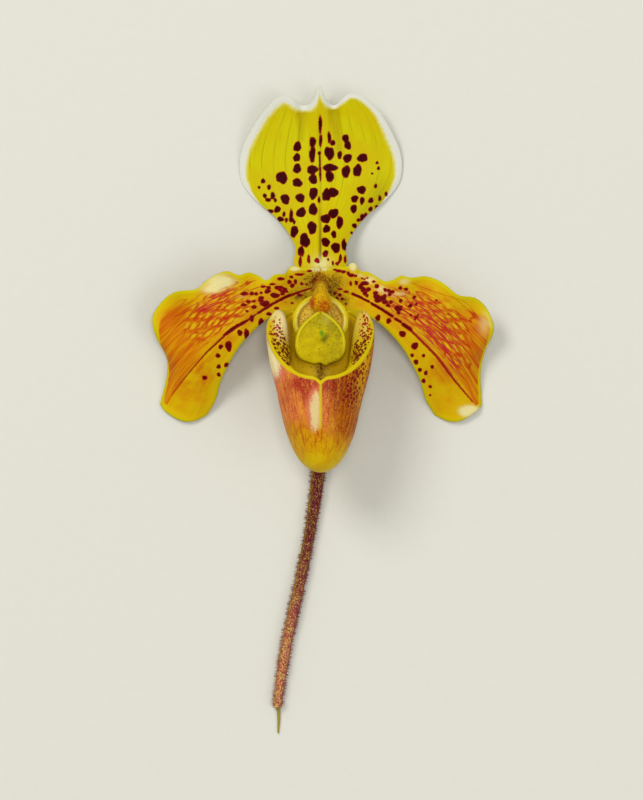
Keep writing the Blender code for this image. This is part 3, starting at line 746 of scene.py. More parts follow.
PETAL_UPPER_RIGHT = (
    (0.0, 4.7), (5.0, 5.3), (8.6, 5.5), (9.6, 6.5), (11.0, 6.3), (12.2, 4.2), (15.7, 3.4), (20.3, 0.7),
    (22.9, 1.1), (25.7, 2.5), (28.5, 1.8), (33.4, 2.3), (38.6, 0.4), (44.0, -3.7), (49.0, -4.4),
    (53.2, -8.2), (55.3, -14.6), (52.8, -21.2), (51.2, -28.0), (51.6, -38.6),
)
PETAL_VEIN_HEIGHT = (  # share of the length, height along the midvein
    (0.0, PETAL_FACE), (0.12, PETAL_FACE), (0.3, 16.4), (0.5, 15.6), (0.7, 11.6), (0.88, 5.2),
    (1.0, 1.9),
)
PETAL_WAVES = 5.5
PETAL_WAVE_HEIGHT = 1.5
PETAL_LOWER_ROLL = 1.3
PETAL_UPPER_LIFT = 1.2
PETAL_UPPER_ROLL = 2.2
PETAL_FAN = 1.25  # above 1, lines across the petal lean back to the base
LEFT, RIGHT = -1, 1


def petal_shape(upper_margin, side):
    vein, lower, upper = (keyed_by_length(line) for line in (PETAL_VEIN, PETAL_LOWER, upper_margin))

    def shape(along, v):
        across = 2 * v - 1
        below = across < 0
        vein_x, vein_y = curve(vein, along)
        edge_x, edge_y = np.where(below, curve(lower, along), curve(upper, along**PETAL_FAN))
        sag = PETAL_END_SAG * np.sin(np.pi * -across) * ease(0.6, 1.0, along) ** 2
        x = mix(vein_x, edge_x, np.abs(across))
        y = mix(vein_y, edge_y, np.abs(across)) - np.where(below, sag, 0.0)
        spread = ease(0.1, 0.45, along)
        wave = np.sin(2 * np.pi * PETAL_WAVES * along) * spread * (1 - ease(0.7, 1.0, along))
        bend = mix(PETAL_UPPER_LIFT, -PETAL_UPPER_ROLL, ease(0.45, 0.9, along)) * spread
        upper_side = bend * across**2 + PETAL_WAVE_HEIGHT * wave * across**3
        height = curve(PETAL_VEIN_HEIGHT, along)
        height += np.where(below, -PETAL_LOWER_ROLL * spread * across**2, upper_side)
        return side * x, y, np.maximum(height, BLADE * ease(0.8, 1.0, along))

    return shape


print("the left midvein ends at", np.round(petal_shape(PETAL_UPPER_LEFT, LEFT)(1.0, 0.5), 1), "mm")

# %% [markdown]
# The spots of the two petals differ, as they do on a living flower. They crowd above the
# midvein near the base, run along it as dashes, and thin out along the lower margin. The
# midvein's dark line breaks into those dashes and then fades outwards to red.

# %% Petals: spots
LEFT_SPOTS = (
    # Along the upper margin
    (-3.6, 4.0, 0.65, 0.3), (-6.7, 2.9, 1.2, 0.4), (-9.3, 2.1, 0.57, 0.45), (-12.7, 1.45, 1.06, 0.42),
    (-15.4, -0.2, 0.75, 0.3), (-18.2, -1.0, 0.75, 0.32),
    # Crowded above the midvein
    (-9.9, 0.5, 0.68, 0.55), (-8.0, 0.6, 0.55, 0.68), (-9.0, -0.7, 0.65, 0.65),
    (-6.0, -0.1, 0.45, 0.42), (-4.5, -0.3, 0.3, 0.3), (-1.2, 2.4, 0.45, 0.4), (-1.8, 1.3, 0.5, 0.5),
    (-2.4, 0.5, 0.38, 0.38), (-13.9, -1.3, 0.75, 0.5), (-12.7, -1.2, 0.8, 0.45),
    (-11.4, -1.9, 0.75, 0.62), (-12.0, -2.6, 0.8, 0.42), (-12.1, -3.3, 0.6, 0.45),
    (-13.0, -2.0, 0.5, 0.4), (-10.7, -2.5, 0.4, 0.35), (-16.9, -2.5, 0.9, 0.68),
    (-16.5, -1.4, 0.68, 0.53), (-14.6, -3.8, 1.28, 0.83), (-18.9, -4.6, 0.83, 0.55),
    (-19.0, -5.5, 0.75, 0.5), (-17.8, -6.4, 1.36, 0.83),
    # Scattered outwards
    (-24.3, -3.2, 1.1, 0.5), (-21.9, -3.2, 0.68, 0.53), (-20.5, -3.3, 0.6, 0.45),
    (-18.9, -3.0, 0.45, 0.35), (-23.0, -5.8, 0.68, 0.45), (-21.2, -5.7, 0.53, 0.38),
    (-24.5, -6.8, 0.75, 0.45), (-21.2, -7.5, 0.75, 0.58), (-23.4, -8.8, 0.45, 0.32),
    # Below the midvein
    (-6.6, -3.7, 0.8, 0.35), (-9.1, -6.2, 0.32, 0.32), (-21.9, -11.1, 0.72, 1.0),
    (-14.0, -7.9, 0.68, 0.45), (-16.4, -9.7, 0.75, 0.53), (-19.0, -12.3, 0.85, 1.1),
    (-25.7, -15.7, 0.75, 0.9), (-23.6, -16.0, 0.8, 1.35), (-29.3, -19.9, 0.9, 1.66),
    (-31.8, -20.1, 0.68, 0.68), (-32.7, -22.9, 0.75, 0.64), (-32.5, -26.4, 0.68, 0.64),
    (-30.0, -25.7, 0.7, 0.7), (-32.5, -28.9, 0.55, 0.55), (-37.0, -30.0, 0.8, 0.6),
)
RIGHT_SPOTS = (
    # Along the upper margin
    (4.6, 4.4, 0.45, 0.3), (5.9, 4.0, 0.88, 0.4), (7.3, 3.7, 0.64, 0.48), (8.9, 3.2, 0.56, 0.56),
    (9.8, 2.6, 0.88, 0.56), (11.2, 2.4, 0.4, 0.36), (13.2, 1.6, 0.28, 0.28), (14.0, 1.4, 0.26, 0.26),
    (14.9, 1.75, 0.28, 0.28), (16.9, 0.6, 0.48, 0.32),
    # Crowded above the midvein
    (9.6, 0.0, 0.36, 0.68), (11.4, 0.2, 0.52, 0.68), (14.0, 0.0, 1.27, 0.64), (12.8, -0.9, 0.75, 0.85),
    (13.6, -1.9, 0.85, 0.8), (15.2, -1.9, 0.75, 0.62), (14.2, -3.1, 0.66, 0.75),
    (14.8, -3.9, 0.5, 0.42), (17.9, -0.9, 0.64, 0.68), (20.6, -2.0, 0.55, 0.56),
    (21.8, -2.3, 0.66, 0.54), (22.8, -2.6, 0.66, 0.56), (22.0, -3.5, 0.5, 0.48),
    (17.5, -3.1, 0.76, 0.6), (17.9, -4.3, 1.03, 0.96), (18.4, -5.3, 1.2, 0.75), (19.9, -4.7, 0.9, 0.9),
    (20.5, -3.9, 0.5, 0.5), (20.5, -5.9, 0.82, 0.66), (21.5, -7.0, 0.64, 0.58),
    (22.4, -5.9, 0.54, 0.58), (24.7, -8.0, 1.2, 0.85), (24.8, -9.2, 0.56, 0.64),
    (25.5, -7.4, 0.5, 0.35),
    # Scattered outwards
    (25.4, -1.4, 0.54, 0.56), (27.2, -1.8, 0.58, 0.48), (25.5, -5.5, 0.6, 0.52),
    (29.8, -4.4, 0.54, 0.5), (28.6, -7.1, 0.68, 0.64), (30.5, -6.6, 0.44, 0.42),
    (28.8, -10.1, 0.36, 0.36), (30.5, -10.7, 0.48, 0.44), (31.1, -9.9, 0.3, 0.3),
    (30.1, -11.4, 0.3, 0.26), (37.0, -5.3, 0.32, 0.3),
    # Dashes on the midvein
    (6.2, -1.8, 0.64, 0.32), (8.2, -2.6, 0.72, 0.32),
    # Below the midvein
    (4.6, -3.1, 0.5, 0.46), (6.1, -3.6, 0.5, 0.5), (5.2, -4.6, 0.34, 0.4), (6.9, -4.9, 0.48, 0.42),
    (8.1, -6.5, 0.34, 0.3), (18.3, -10.9, 0.8, 0.88), (21.7, -11.9, 0.72, 0.8),
    (26.1, -16.0, 1.05, 0.9), (30.0, -19.8, 1.07, 1.0), (29.2, -22.7, 0.52, 0.5),
    (32.8, -22.9, 0.48, 0.52), (30.5, -24.8, 0.64, 0.76), (31.7, -27.3, 0.56, 0.64),
    (33.6, -28.4, 0.56, 0.64), (35.6, -26.5, 0.56, 0.56), (32.9, -30.9, 0.56, 0.68),
    (35.0, -32.9, 0.5, 0.44), (35.0, -35.6, 0.3, 0.3),
)
LEFT_DARK_LINES = (  # stretches of the midvein: x, y, half width
    ((-2.0, -1.2, 0.12), (-5.0, -2.1, 0.22), (-9.3, -3.7, 0.3)),
    ((-9.9, -3.8, 0.38), (-12.6, -5.1, 0.42)),
    ((-12.9, -5.3, 0.3), (-15.2, -6.5, 0.35)),
    ((-15.7, -6.8, 0.4), (-19.8, -9.4, 0.36)),
    ((-22.6, -11.3, 0.2), (-24.6, -12.6, 0.5), (-26.4, -13.4, 0.42), (-28.0, -14.5, 0.6),
     (-30.7, -16.5, 0.35)),
)
RIGHT_DARK_LINES = (
    ((10.2, -3.3, 0.36), (13.0, -4.5, 0.4)),
    ((13.5, -4.9, 0.3), (15.4, -5.8, 0.36)),
    ((16.3, -6.4, 0.38), (19.9, -8.5, 0.42)),
    ((19.7, -8.4, 0.4), (22.8, -10.4, 0.45)),
    ((23.7, -11.2, 0.36), (25.5, -12.2, 0.42)),
    ((26.4, -13.1, 0.6), (28.6, -14.6, 0.6)),
)
LEFT_RED_LINE = (
    (-19.5, -9.2, 0.2), (-30.5, -16.6, 0.34), (-36.4, -22.0, 0.28), (-43.0, -29.6, 0.2),
    (-47.6, -35.6, 0.12),
)
RIGHT_RED_LINE = (
    (28.0, -14.2, 0.42), (33.7, -19.8, 0.42), (36.8, -23.0, 0.4), (42.8, -30.9, 0.3), (48.6, -37.6, 0.2),
)
print(len(LEFT_SPOTS), "spots on the left petal and", len(RIGHT_SPOTS), "on the right one")

# %% [markdown]
# Where each wash goes is worked out here: the orange flush fills the outer part above the
# midvein, a net of red veins shows through its middle, the margins stay yellow, a few places
# get a painted highlight, nearly cream, and the base is dull green and dotted with hair roots.
# The side veins spread like a fan between the midvein and a line above the petal. So each
# point is marked with its share of the way from one to the other, and with its reach.

# %% Petals: soft patches
FAN_FOOT = (*PETAL_VEIN, (56.0, -53.0))  # x and y of the fan's first vein, the midvein, drawn on
FAN_TOP = ((0.0, 7.0), (12.0, 6.5), (25.0, 5.5), (40.0, 3.0), (57.0, -2.5))  # and of its last
LEFT_PATCHES = {  # x, y, half width, half height, strength
    # pale: painted highlights, nearly cream
    "pale": (
        (-31.5, 0.8, 4.6, 2.2, 1.0), (-35.0, -2.0, 4.0, 1.6, 0.7), (-8.4, 4.7, 1.8, 0.8, 1.0),
        (-25.0, -4.2, 3.0, 0.8, 0.35), (-1.4, 4.6, 2.0, 1.0, 0.9),
    ),
    "pink": (
        (-28.5, -2.6, 4.0, 1.4, 1.0), (-32.5, -4.6, 4.0, 1.6, 1.0), (-37.0, -7.6, 3.6, 1.6, 0.9),
        (-33.0, -10.5, 3.0, 1.4, 0.3),
    ),
    "net": (
        (-29.0, -6.0, 6.0, 5.0, 1.0), (-34.5, -10.0, 6.5, 5.5, 1.0), (-39.0, -15.0, 4.0, 4.0, 0.5),
        (-24.0, -4.0, 4.0, 3.0, 0.5),
    ),
    "rays": (
        (-27.0, -5.0, 9.0, 5.0, 1.0), (-36.0, -11.0, 9.5, 9.0, 1.0), (-22.0, -0.5, 5.0, 2.0, 0.6),
    ),
    "gold": ((-46.5, -5.0, 6.0, 4.0, 0.5), (-24.0, 1.0, 5.0, 3.0, 0.7)),
    "fuzz": ((-2.8, 1.0, 2.3, 2.2, 1.2), (-6.4, -3.8, 3.2, 1.6, 0.9)),
}
RIGHT_PATCHES = {
    # pale: painted highlights, nearly cream
    "pale": (
        (15.7, 1.1, 2.2, 1.4, 0.7), (19.2, -1.6, 2.2, 1.4, 0.6), (25.3, -3.3, 2.6, 1.0, 0.5),
        (26.6, 0.6, 2.2, 1.3, 0.6), (52.4, -13.0, 3.0, 5.0, 0.46), (47.6, -40.6, 3.4, 1.8, 1.3),
        (21.0, -3.4, 2.4, 1.4, 0.3), (10.4, 5.4, 1.4, 1.5, 1.0), (12.4, 2.6, 1.5, 0.8, 0.5),
        (1.0, 4.8, 1.8, 1.0, 0.8),
    ),
    "pink": (
        (50.5, -14.0, 2.6, 3.6, 0.35), (25.0, -3.6, 4.0, 2.4, 0.6), (19.0, -1.5, 4.0, 2.0, 0.4),
        (29.0, -8.5, 6.0, 4.0, 1.0), (36.0, -14.5, 5.0, 5.0, 1.0), (42.0, -23.0, 4.0, 6.0, 0.9),
    ),
    "net": (
        (27.0, -7.0, 6.0, 3.5, 1.0), (35.0, -11.0, 6.0, 5.5, 1.2), (41.0, -17.0, 5.0, 6.0, 1.1),
        (43.0, -25.0, 3.5, 4.0, 0.7),
    ),
    "rays": (
        (26.0, -7.0, 10.0, 5.0, 1.0), (38.0, -12.0, 10.0, 8.0, 1.0), (44.0, -24.0, 8.0, 9.0, 0.9),
        (31.0, -1.6, 5.0, 1.6, 0.45), (46.0, -8.0, 5.0, 3.0, 0.5),
    ),
    "gold": (
        (36.0, -1.5, 7.0, 3.0, 0.5), (50.0, -6.5, 5.0, 4.0, 0.5), (50.0, -25.0, 4.0, 8.0, 0.3),
    ),
    "fuzz": (
        (3.6, 0.8, 2.8, 2.4, 1.2), (3.6, -2.6, 2.4, 2.6, 1.0), (7.0, -5.4, 2.4, 1.6, 0.8),
    ),
}
print("patches:", {kind: len(LEFT_PATCHES[kind] + RIGHT_PATCHES[kind]) for kind in LEFT_PATCHES})

# %% [markdown]
# Both petals are made by the same steps, from their own margin, spots and patches. The mesh
# gets its low relief first: a groove along the midvein, faint ribs, a raised margin and slow
# swellings. Then it gets the marks. The flush, for one, grows with the distance from the base
# and stops short of the margin and the midvein.

# %% Petals: relief and marks
PETAL_COLUMNS, PETAL_ROWS = 200, 96
PETAL_RIBS = 6


def base_fuzz(x, y, places):
    """How thickly the dark hairs stand on a petal's base."""
    return patches(x, y, *places) * (1 - patch(x, y, 0.0, 5.0, 3.0, 2.2))


def petal_relief(points, across, u, edge, spot):
    """Heights in millimetres to lift the petal's points by."""
    spread = ease(0.15, 0.4, u)
    vein_gap = line_distance(np.abs(points[:, 0]), points[:, 1], [(x, y, 0.0) for x, y in PETAL_VEIN])
    relief = (
        -0.3 * bump(vein_gap, 0.0, 0.55) * ease(0.06, 0.16, u) * (1 - ease(0.85, 1.0, u))
        + 0.03 * np.cos(2 * np.pi * PETAL_RIBS * across) * spread * ease(0.5, 3.0, edge)
        + 0.2 * bump(edge, 0.9, 0.8) * spread
        + 0.45 * mottle(points, 11.0, 5) * spread
        + 0.10 * ease(0.12, -0.3, spot) * (1 - ease(0.35, 0.5, u))
    )
    print("relief runs from", round(relief.min(), 2), "to", round(relief.max(), 2), "mm")
    return relief


def petal_flush(points, along, above, fan, edge, outer, on_left):
    """How orange a petal is: towards its end above the midvein, and in clouds below it."""
    reach, y = np.abs(points[:, 0]), points[:, 1]
    margin = mix(5.6 if on_left else 7.0, 0.9, outer)
    from_edge = (edge + 0.8 * mottle(points, 5.0, 3) - mix(1.2, 1.0, outer)) / margin
    off_vein = mix(ease(0.03, 0.2, fan), 1.0, ease(34.0, 44.0, reach))
    flush = ease(17.0, 42.0, reach - 0.5 * y) * above * off_vein * ease(0.0, 1.0, from_edge)
    clouds = 0.5 + 0.5 * mottle(points, 6.0, 4)
    low_flush = (1 - above) * ease(0.15, 0.4, along) * ease(1.5, 6.0, edge)
    low_flush *= (1 - ease(0.82, 0.98, along)) * (1.0 if on_left else 0.55)
    return flush, low_flush * mix(0.15, 0.65, clouds * ease(0.3, 0.7, along))


def make_petal(name, node, side, upper_margin, spots, dark_lines, red_line, places):
    mesh, u, v = bent_grid(name, PETAL_COLUMNS, PETAL_ROWS, petal_shape(upper_margin, side))
    rework(mesh, face_up)
    points = get_points(mesh)
    x, y = points[:, 0], points[:, 1]
    across, reach = 2 * v - 1, np.abs(x)
    edge = margin_distance(points, at_start(v) | at_end(v) | at_end(u))
    spot = spot_distance(x, y, spots, 7 + side)
    for line in dark_lines:
        spot = np.minimum(spot, line_distance(x, y, line))
    foot, top = curve(FAN_FOOT, reach), curve(FAN_TOP, reach)
    fan = (y - foot) / (top - foot)
    above = ease(-0.04, 0.1, across)
    on_left = side == LEFT
    outer = above * (ease(-9.0, -15.0, y) if on_left else ease(-7.0, -12.0, y))
    flush, low_flush = petal_flush(points, u, above, fan, edge, outer, on_left)
    flush *= 1 - patches(x, y, *places["gold"])
    lift(mesh, petal_relief(points, across, u, edge, spot))
    sunk = get_points(mesh)
    sunk[:, 2] = np.maximum(sunk[:, 2], BLADE)
    put_points(mesh, sunk)
    add_marks(
        mesh, spot=spot, edge=edge, flush=flush + low_flush, above=above, along=u,
        net=patches(x, y, *places["net"]) * ease(0.04, 0.14, fan),
        rays=patches(x, y, *places["rays"]) * ease(0.03, 0.12, fan) * ease(0.6, 2.0, edge),
        reach=reach, fan=fan, side=10.0 * side, rim=edge / mix(1.0, 1.5, outer),
        red_line=line_distance(x, y, red_line), red_fades=1.0 if on_left else 0.1,
        # pale holds the painted highlights
        pale=patches(x, y, *places["pale"]), pink=patches(x, y, *places["pink"]),
        base=1 - ease(0.1, 0.26, u), fuzz=base_fuzz(x, y, places["fuzz"]),
    )
    thicken(show(name, mesh, PETAL_PAINTS, "petal_orange", node), BLADE, edge)


# %% [markdown]
# The net of veins is two families of waves that cross at a low angle, so that long lozenges
# lie between them. It is laid out along the fan, so that it opens with the petal. Red rays run
# the same way. They are the contour lines of a stretched noise, which branch and meet as veins
# do. A finer noise of the same kind gives the brushed look of a petal's skin.

# %% Petals: paint
NET = (0.21, 9.0)  # lozenges to a millimetre of reach, and across the fan
STREAKS = (0.12, 62.0)
BROAD_STREAKS = (0.07, 17.0)
RAYS = (0.11, 12.0)
STROKES = (0.14, 34.0)


def lay_flush(paint, streaks, broad, clouds):
    """Golden skin, and on it the orange flush, streaky above the midvein and cloudy below."""
    paint.ground((214, 174, 3), (212, 150, 4), paint.step(clouds, 0.35, 0.7))
    orange = paint.layer((214, 142, 4), (200, 98, 3), paint.step(broad, 0.36, 0.62))
    orange = paint.layer(orange, (180, 62, 4), paint.times(paint.step(streaks, 0.52, 0.64), 0.7))
    orange = paint.layer(orange, (222, 160, 8), paint.times(paint.step(streaks, 0.46, 0.34), 0.5))
    brushed = paint.times(paint.times_plus(broad, 1.4, -0.7), "above")
    dabbed = paint.times(paint.times_plus(clouds, 1.2, -0.6), paint.take("above", 1.0))
    paint.lay(orange, paint.step(paint.add("flush", paint.add(brushed, dabbed)), 0.1, 0.85))
    paint.lay((218, 184, 4), paint.step("rim", 3.6, 0.8), paint.step("flush", 0.5, 0.1), 0.8)
    paint.lay((178, 154, 4), "base", paint.step(clouds, 0.3, 0.6), 0.6)


def lay_veins(paint, lines, streaks, grain):
    """The net with its pale windows, the red rays and the pink strokes."""
    net = paint.times_plus(streaks, -0.9, paint.add(paint.lattice(*NET, 2.6, lines), 0.45))
    paint.lay((218, 178, 18), paint.step(net, 0.25, 0.7), paint.step("net", 0.05, 0.5), 0.9)
    broken = paint.step(paint.cloud(2.6, 2.0, 0.5), 0.42, 0.58)
    mesh_line = paint.times(paint.step(net, 0.3, 0.06), paint.step("net", 0.0, 0.6), broken, 0.75)
    hills = paint.streaks(RAYS, 0.0, 0.5, 0.3, lines)
    off_contour = paint.maths("ABSOLUTE", paint.take(0.5, hills))
    off_contour = paint.times_plus(grain, 0.02, off_contour)
    ray = paint.times(paint.step(off_contour, 0.05, 0.02), paint.step("rays", 0.1, 0.6))
    ray = paint.times(ray, paint.step(streaks, 0.34, 0.5, 0.3, 1.0))
    line = paint.maths("MAXIMUM", mesh_line, ray)
    paint.lay((184, 44, 10), line, 0.92)
    stroke = paint.streaks(STROKES, 2.0, 0.6, 0.8, lines)
    paint.lay((188, 34, 40), paint.step("pink", 0.1, 0.7), paint.step(stroke, 0.48, 0.56), 0.9)
    return line


def lay_midvein(paint, grain):
    """The midvein's line, dark red at first and fading outwards."""
    far = paint.times(paint.step("along", 0.5, 0.75), "red_fades")
    crimson = paint.layer((128, 10, 8), (156, 16, 14), paint.step("side", -1.0, 1.0))
    ragged = paint.add("red_line", paint.times_plus(grain, 0.4, -0.2))
    paint.lay(paint.layer(crimson, (160, 56, 8), far), paint.step(ragged, 0.2, -0.08), 0.97)


print("the net has", NET[1], "lozenges from the midvein to the top of the fan")

# %% [markdown]
# Now the layers are laid in order: flush, veins, margin, painted highlights, midvein, hair roots and
# spots.
# The back is duller. It shows the veins and the spots as if through the blade.

# %% Petals: both sides
def petal_front():
    paint = Paint("petal_front")
    lines = paint.vein_lines()
    streaks = paint.streaks(STREAKS, bend=0.3, where=lines)
    broad = paint.streaks(BROAD_STREAKS, 3.0, 0.55, 0.4, lines)
    clouds = paint.cloud(6.0, 3.0, 0.55)
    grain = paint.cloud(0.8)
    lay_flush(paint, streaks, broad, clouds)
    line = lay_veins(paint, lines, streaks, grain)
    margin = paint.times_plus(clouds, 0.5, paint.take(0.25, "rim"))
    paint.lay((208, 192, 5), paint.step(margin, 1.1, 0.75))
    # Painted highlights, nearly cream, over the pale patches.
    pale = paint.times_plus(streaks, 0.6, paint.take(0.3, "pale"))
    paint.lay((231, 218, 150), paint.step(pale, 0.15, 0.85))
    lay_midvein(paint, grain)
    roots = paint.step(paint.cells(0.8), 0.44, 0.26)
    paint.lay((140, 100, 6), "fuzz", 0.45)
    paint.lay((92, 36, 14), roots, "fuzz", paint.step(grain, 0.32, 0.46), 0.8)
    dot_on(paint, grain, 0.12, (98, 5, 5), (150, 14, 10))
    ridges = paint.add(paint.times(streaks, 0.8), paint.times(line, -0.4))
    return paint.done(paint.step(grain, 0.3, 0.7, 0.42, 0.56), paint.emboss(ridges, 0.10), 0.05)


def petal_back():
    paint = Paint("petal_back")
    lines = paint.vein_lines()
    streaks = paint.streaks(STREAKS, where=lines)
    grain = paint.cloud(1.2, 4.0, 0.6)
    paint.ground((176, 148, 30), (160, 112, 22), streaks)
    paint.lay((166, 92, 24), "flush", 0.6)
    paint.lay((140, 76, 24), paint.step(paint.lattice(*NET, 2.4, lines), 0.3, 0.05), "net", 0.7)
    paint.lay((190, 178, 50), paint.step("edge", 2.2, 0.8))
    paint.lay((104, 44, 28), paint.step("spot", 0.3, -0.3), 0.45)
    return paint.done(0.55, paint.emboss(paint.add(streaks, grain), 0.08), 0.25)


PETAL_PAINTS = (petal_front(), petal_back())
make_petal("left_petal", "petal_left", LEFT, PETAL_UPPER_LEFT, LEFT_SPOTS, LEFT_DARK_LINES,
           LEFT_RED_LINE, LEFT_PATCHES)
make_petal("right_petal", "petal_right", RIGHT, PETAL_UPPER_RIGHT, RIGHT_SPOTS, RIGHT_DARK_LINES,
           RIGHT_RED_LINE, RIGHT_PATCHES)

# %% [markdown]
# The pouch is the orchid's lip, blown up like a slipper. Its wall starts at the toe, widens to
# the rim, and at the two ears the margin rolls inwards as broad lobes. It could be turned on a
# lathe and pushed out of round. Here the grid is rolled up instead: u goes round from the back
# to the front and back again, v goes from the toe to the rim and then down the inner side of
# the fold. Each ring is an ellipse whose front and back have their own heights.

# %% Pouch: shape
TOE_Y = -60.1
POUCH_REACH = 51.5
POUCH_WIDEST = 0.42
POUCH_HALF_WIDTH = (  # w, the root of the share of the reach from the toe, and half width
    (0.0, 0.0), (0.108, 2.6), (0.253, 6.0), (0.374, 8.6), (0.489, 10.8), (0.598, 12.3),
    (0.7, 13.8), (0.8, 15.7), (0.9, 17.0), (0.95, 16.9), (0.99, 15.4), (1.06, 13.6),
)
POUCH_FRONT = (  # w, height of the front wall
    (0.0, 30.0), (0.108, 33.0), (0.253, 36.6), (0.374, 39.0), (0.489, 41.0), (0.6, 42.2),
    (0.76, 42.0), (0.9, 40.0), (1.06, 38.0),
)
POUCH_BACK = (  # w, height of the back wall
    (0.0, 30.0), (0.108, 26.8), (0.253, 23.2), (0.374, 20.8), (0.489, 19.0), (0.6, 17.9),
    (0.75, 17.2), (0.9, 17.0), (1.0, 16.8), (1.025, COLUMN_FOOT + 0.1), (1.06, COLUMN_FOOT + 0.1),
)
POUCH_RIM = (  # degrees from the front, y of the rim
    (0.0, -31.6), (7.0, -30.2), (20.0, -29.6), (40.0, -27.3), (60.0, -22.8), (75.0, -17.8),
    (90.0, -12.9), (104.0, -9.9), (118.0, -9.0), (132.0, -9.0), (148.0, -8.2), (162.0, -5.4),
    (180.0, -3.9),
)
POUCH_FREE_EDGE = (  # degrees from the front, x, y and z of the infolded margin
    (0.0, 0.0, -31.6, 40.2), (20.0, 4.8, -30.4, 40.0), (32.0, 7.4, -29.2, 37.0),
    (45.0, 8.8, -26.6, 31.0), (60.0, 9.4, -22.8, 27.6), (75.0, 9.9, -19.0, 25.8),
    (90.0, 10.4, -15.4, 24.8), (104.0, 10.9, -12.8, 24.0), (118.0, 11.2, -11.2, 23.2),
    (132.0, 9.6, -9.9, 20.2), (148.0, 7.2, -9.2, 18.2), (162.0, 4.1, -6.4, 17.4),
    (180.0, 0.0, -4.9, 17.2),
)
POUCH_WALL = 0.8
RIM_ROLL = 1.0
LOBE_ROLL = 3.2
RIM_ARRIVAL = (0.0, 0.6, 0.2)
LOBE_ARRIVAL = (0.0, 3.0, 2.0)
WALL_SHARE = 0.8  # share of the grid's rows that the wall has. The fold has the rest


def pouch_wall(angle, w):
    radians = np.radians(angle)
    front, back = curve(POUCH_FRONT, w), curve(POUCH_BACK, w)
    widest = mix(back, front, POUCH_WIDEST)
    reach = np.where(np.cos(radians) > 0, front - widest, widest - back)
    x = curve(POUCH_HALF_WIDTH, w) * np.sin(radians)
    return np.stack([x, TOE_Y + POUCH_REACH * w * w, widest + reach * np.cos(radians)])


def pouch_shape(u, v):
    turn = 360.0 * u - 180.0
    angle = np.abs(turn)
    rim_w = np.sqrt((curve(POUCH_RIM, angle) - TOE_Y) / POUCH_REACH)
    wall = pouch_wall(angle, rim_w * np.minimum(v / WALL_SHARE, 1.0))
    rim = pouch_wall(angle, rim_w)
    rise = rim - pouch_wall(angle, rim_w - 0.03)
    rise /= np.linalg.norm(rise, axis=0)
    edge = curve(POUCH_FREE_EDGE, angle)
    lobe = ease(25.0, 50.0, angle) * (1 - ease(92.0, 130.0, angle))
    leave = rim + rise * mix(RIM_ROLL, LOBE_ROLL, lobe)
    arrive = edge + mix(np.array([RIM_ARRIVAL]).T, np.array([LOBE_ARRIVAL]).T, lobe)
    share = np.clip((v - WALL_SHARE) / (1 - WALL_SHARE), 0.0, 1.0)
    rest = 1.0 - share
    fold = rim * rest**3 + leave * 3 * rest**2 * share + arrive * 3 * rest * share**2 + edge * share**3
    x, y, z = np.where(v < WALL_SHARE, wall, fold)
    return np.sign(turn) * x, y, z


pouch_mesh, u, v = bent_grid("pouch", 200, 150, pouch_shape)
pouch_points = get_points(pouch_mesh)
print("pouch", np.ptp(pouch_points, axis=0).round(1), "mm")

# %% [markdown]
# The pouch is glossy and flushed red towards the rim, golden at the toe, with fine upright
# veins. A yellow keel runs down from a notch in the rim, the rim itself is a yellow band, and
# the lobes are cream with maroon freckles. Every wash again gets a mark. The freckles are
# made in the material, and their mark only says how thickly they lie.

# %% Pouch: relief and marks
# Painted highlights: a creamy streak left of the keel, and cream on the upper left of the wall.
POUCH_CREAM = (  # soft patches again: x, y, half width, half height, strength
    (-15.8, -21.0, 2.4, 6.5, 1.0), (-13.8, -27.0, 2.0, 4.6, 0.7), (-1.8, -39.5, 2.1, 4.4, 1.1),
    (-1.2, -36.0, 1.0, 2.4, 0.6), (-1.7, -45.0, 1.7, 3.0, 0.8),
)
POUCH_CRIMSON = (
    (-5.2, -31.8, 4.2, 2.6, 1.4), (-4.4, -36.0, 1.8, 3.5, 0.9), (3.5, -32.5, 3.2, 3.0, 1.2),
    (9.5, -31.0, 3.0, 5.0, 0.6), (-10.5, -36.0, 2.5, 5.0, 0.35), (5.5, -38.0, 3.0, 4.0, 0.5),
)
POUCH_RIBS = 26
POUCH_GOLD = ((14.4, -24.0, 2.6, 6.5, 1.0), (12.8, -34.0, 1.8, 7.0, 0.8), (3.5, -45.0, 1.5, 5.0, 0.35))
POUCH_FRECKLES = (
    (11.5, -28.5, 4.0, 6.0, 1.0), (9.5, -37.0, 3.5, 4.5, 0.7), (15.0, -21.0, 2.0, 5.0, 0.6),
)
LOBE_SPOTS = (
    (-13.8, -12.8, 1.5, 2.8, 0.7), (-14.4, -16.6, 2.6, 3.0, 1.0), (-13.2, -20.4, 2.6, 3.4, 1.3),
    (-11.4, -24.0, 2.4, 3.6, 1.2), (13.8, -12.4, 1.5, 3.4, 1.1), (14.8, -16.6, 2.0, 3.0, 1.1),
    (13.0, -20.0, 2.7, 3.4, 0.9), (11.2, -24.2, 2.0, 3.2, 0.8),
)
x, y, z = pouch_points.T
turn = np.abs(360.0 * u - 180.0)
behind = turn > 90
on_wall = v < WALL_SHARE
facing = ease(100.0, 60.0, turn)
front = on_wall * facing
fold = ease(WALL_SHARE, 1.0, v)
rim_gap = margin_distance(pouch_points, np.abs(v - WALL_SHARE) < 0.004)
keel = bump(x, 0.0, 0.55) * ease(-50.0, -43.0, y) * front
relief = (
    0.16 * keel
    - 0.14 * bump(np.abs(x), 1.3, 0.7) * ease(-46.0, -36.0, y) * front
    + 0.04 * np.cos(2 * np.pi * POUCH_RIBS * u) * ease(0.25, 0.5, v) * on_wall
    + 0.30 * mottle(pouch_points, 13.0, 8) * ease(0.05, 0.25, v)
    + 0.10 * mottle(pouch_points, 5.0, 9) * on_wall * ease(0.1, 0.3, v)
    + 0.16 * bump(rim_gap, 0.0, 0.8) * facing
)
uneven = 2.5 * mottle(pouch_points, 7.0, 10) + 4.5 * ease(-1.0, 5.0, x)
at_side = ease(22.0, 40.0, turn) * (1 - ease(116.0, 124.0, turn))
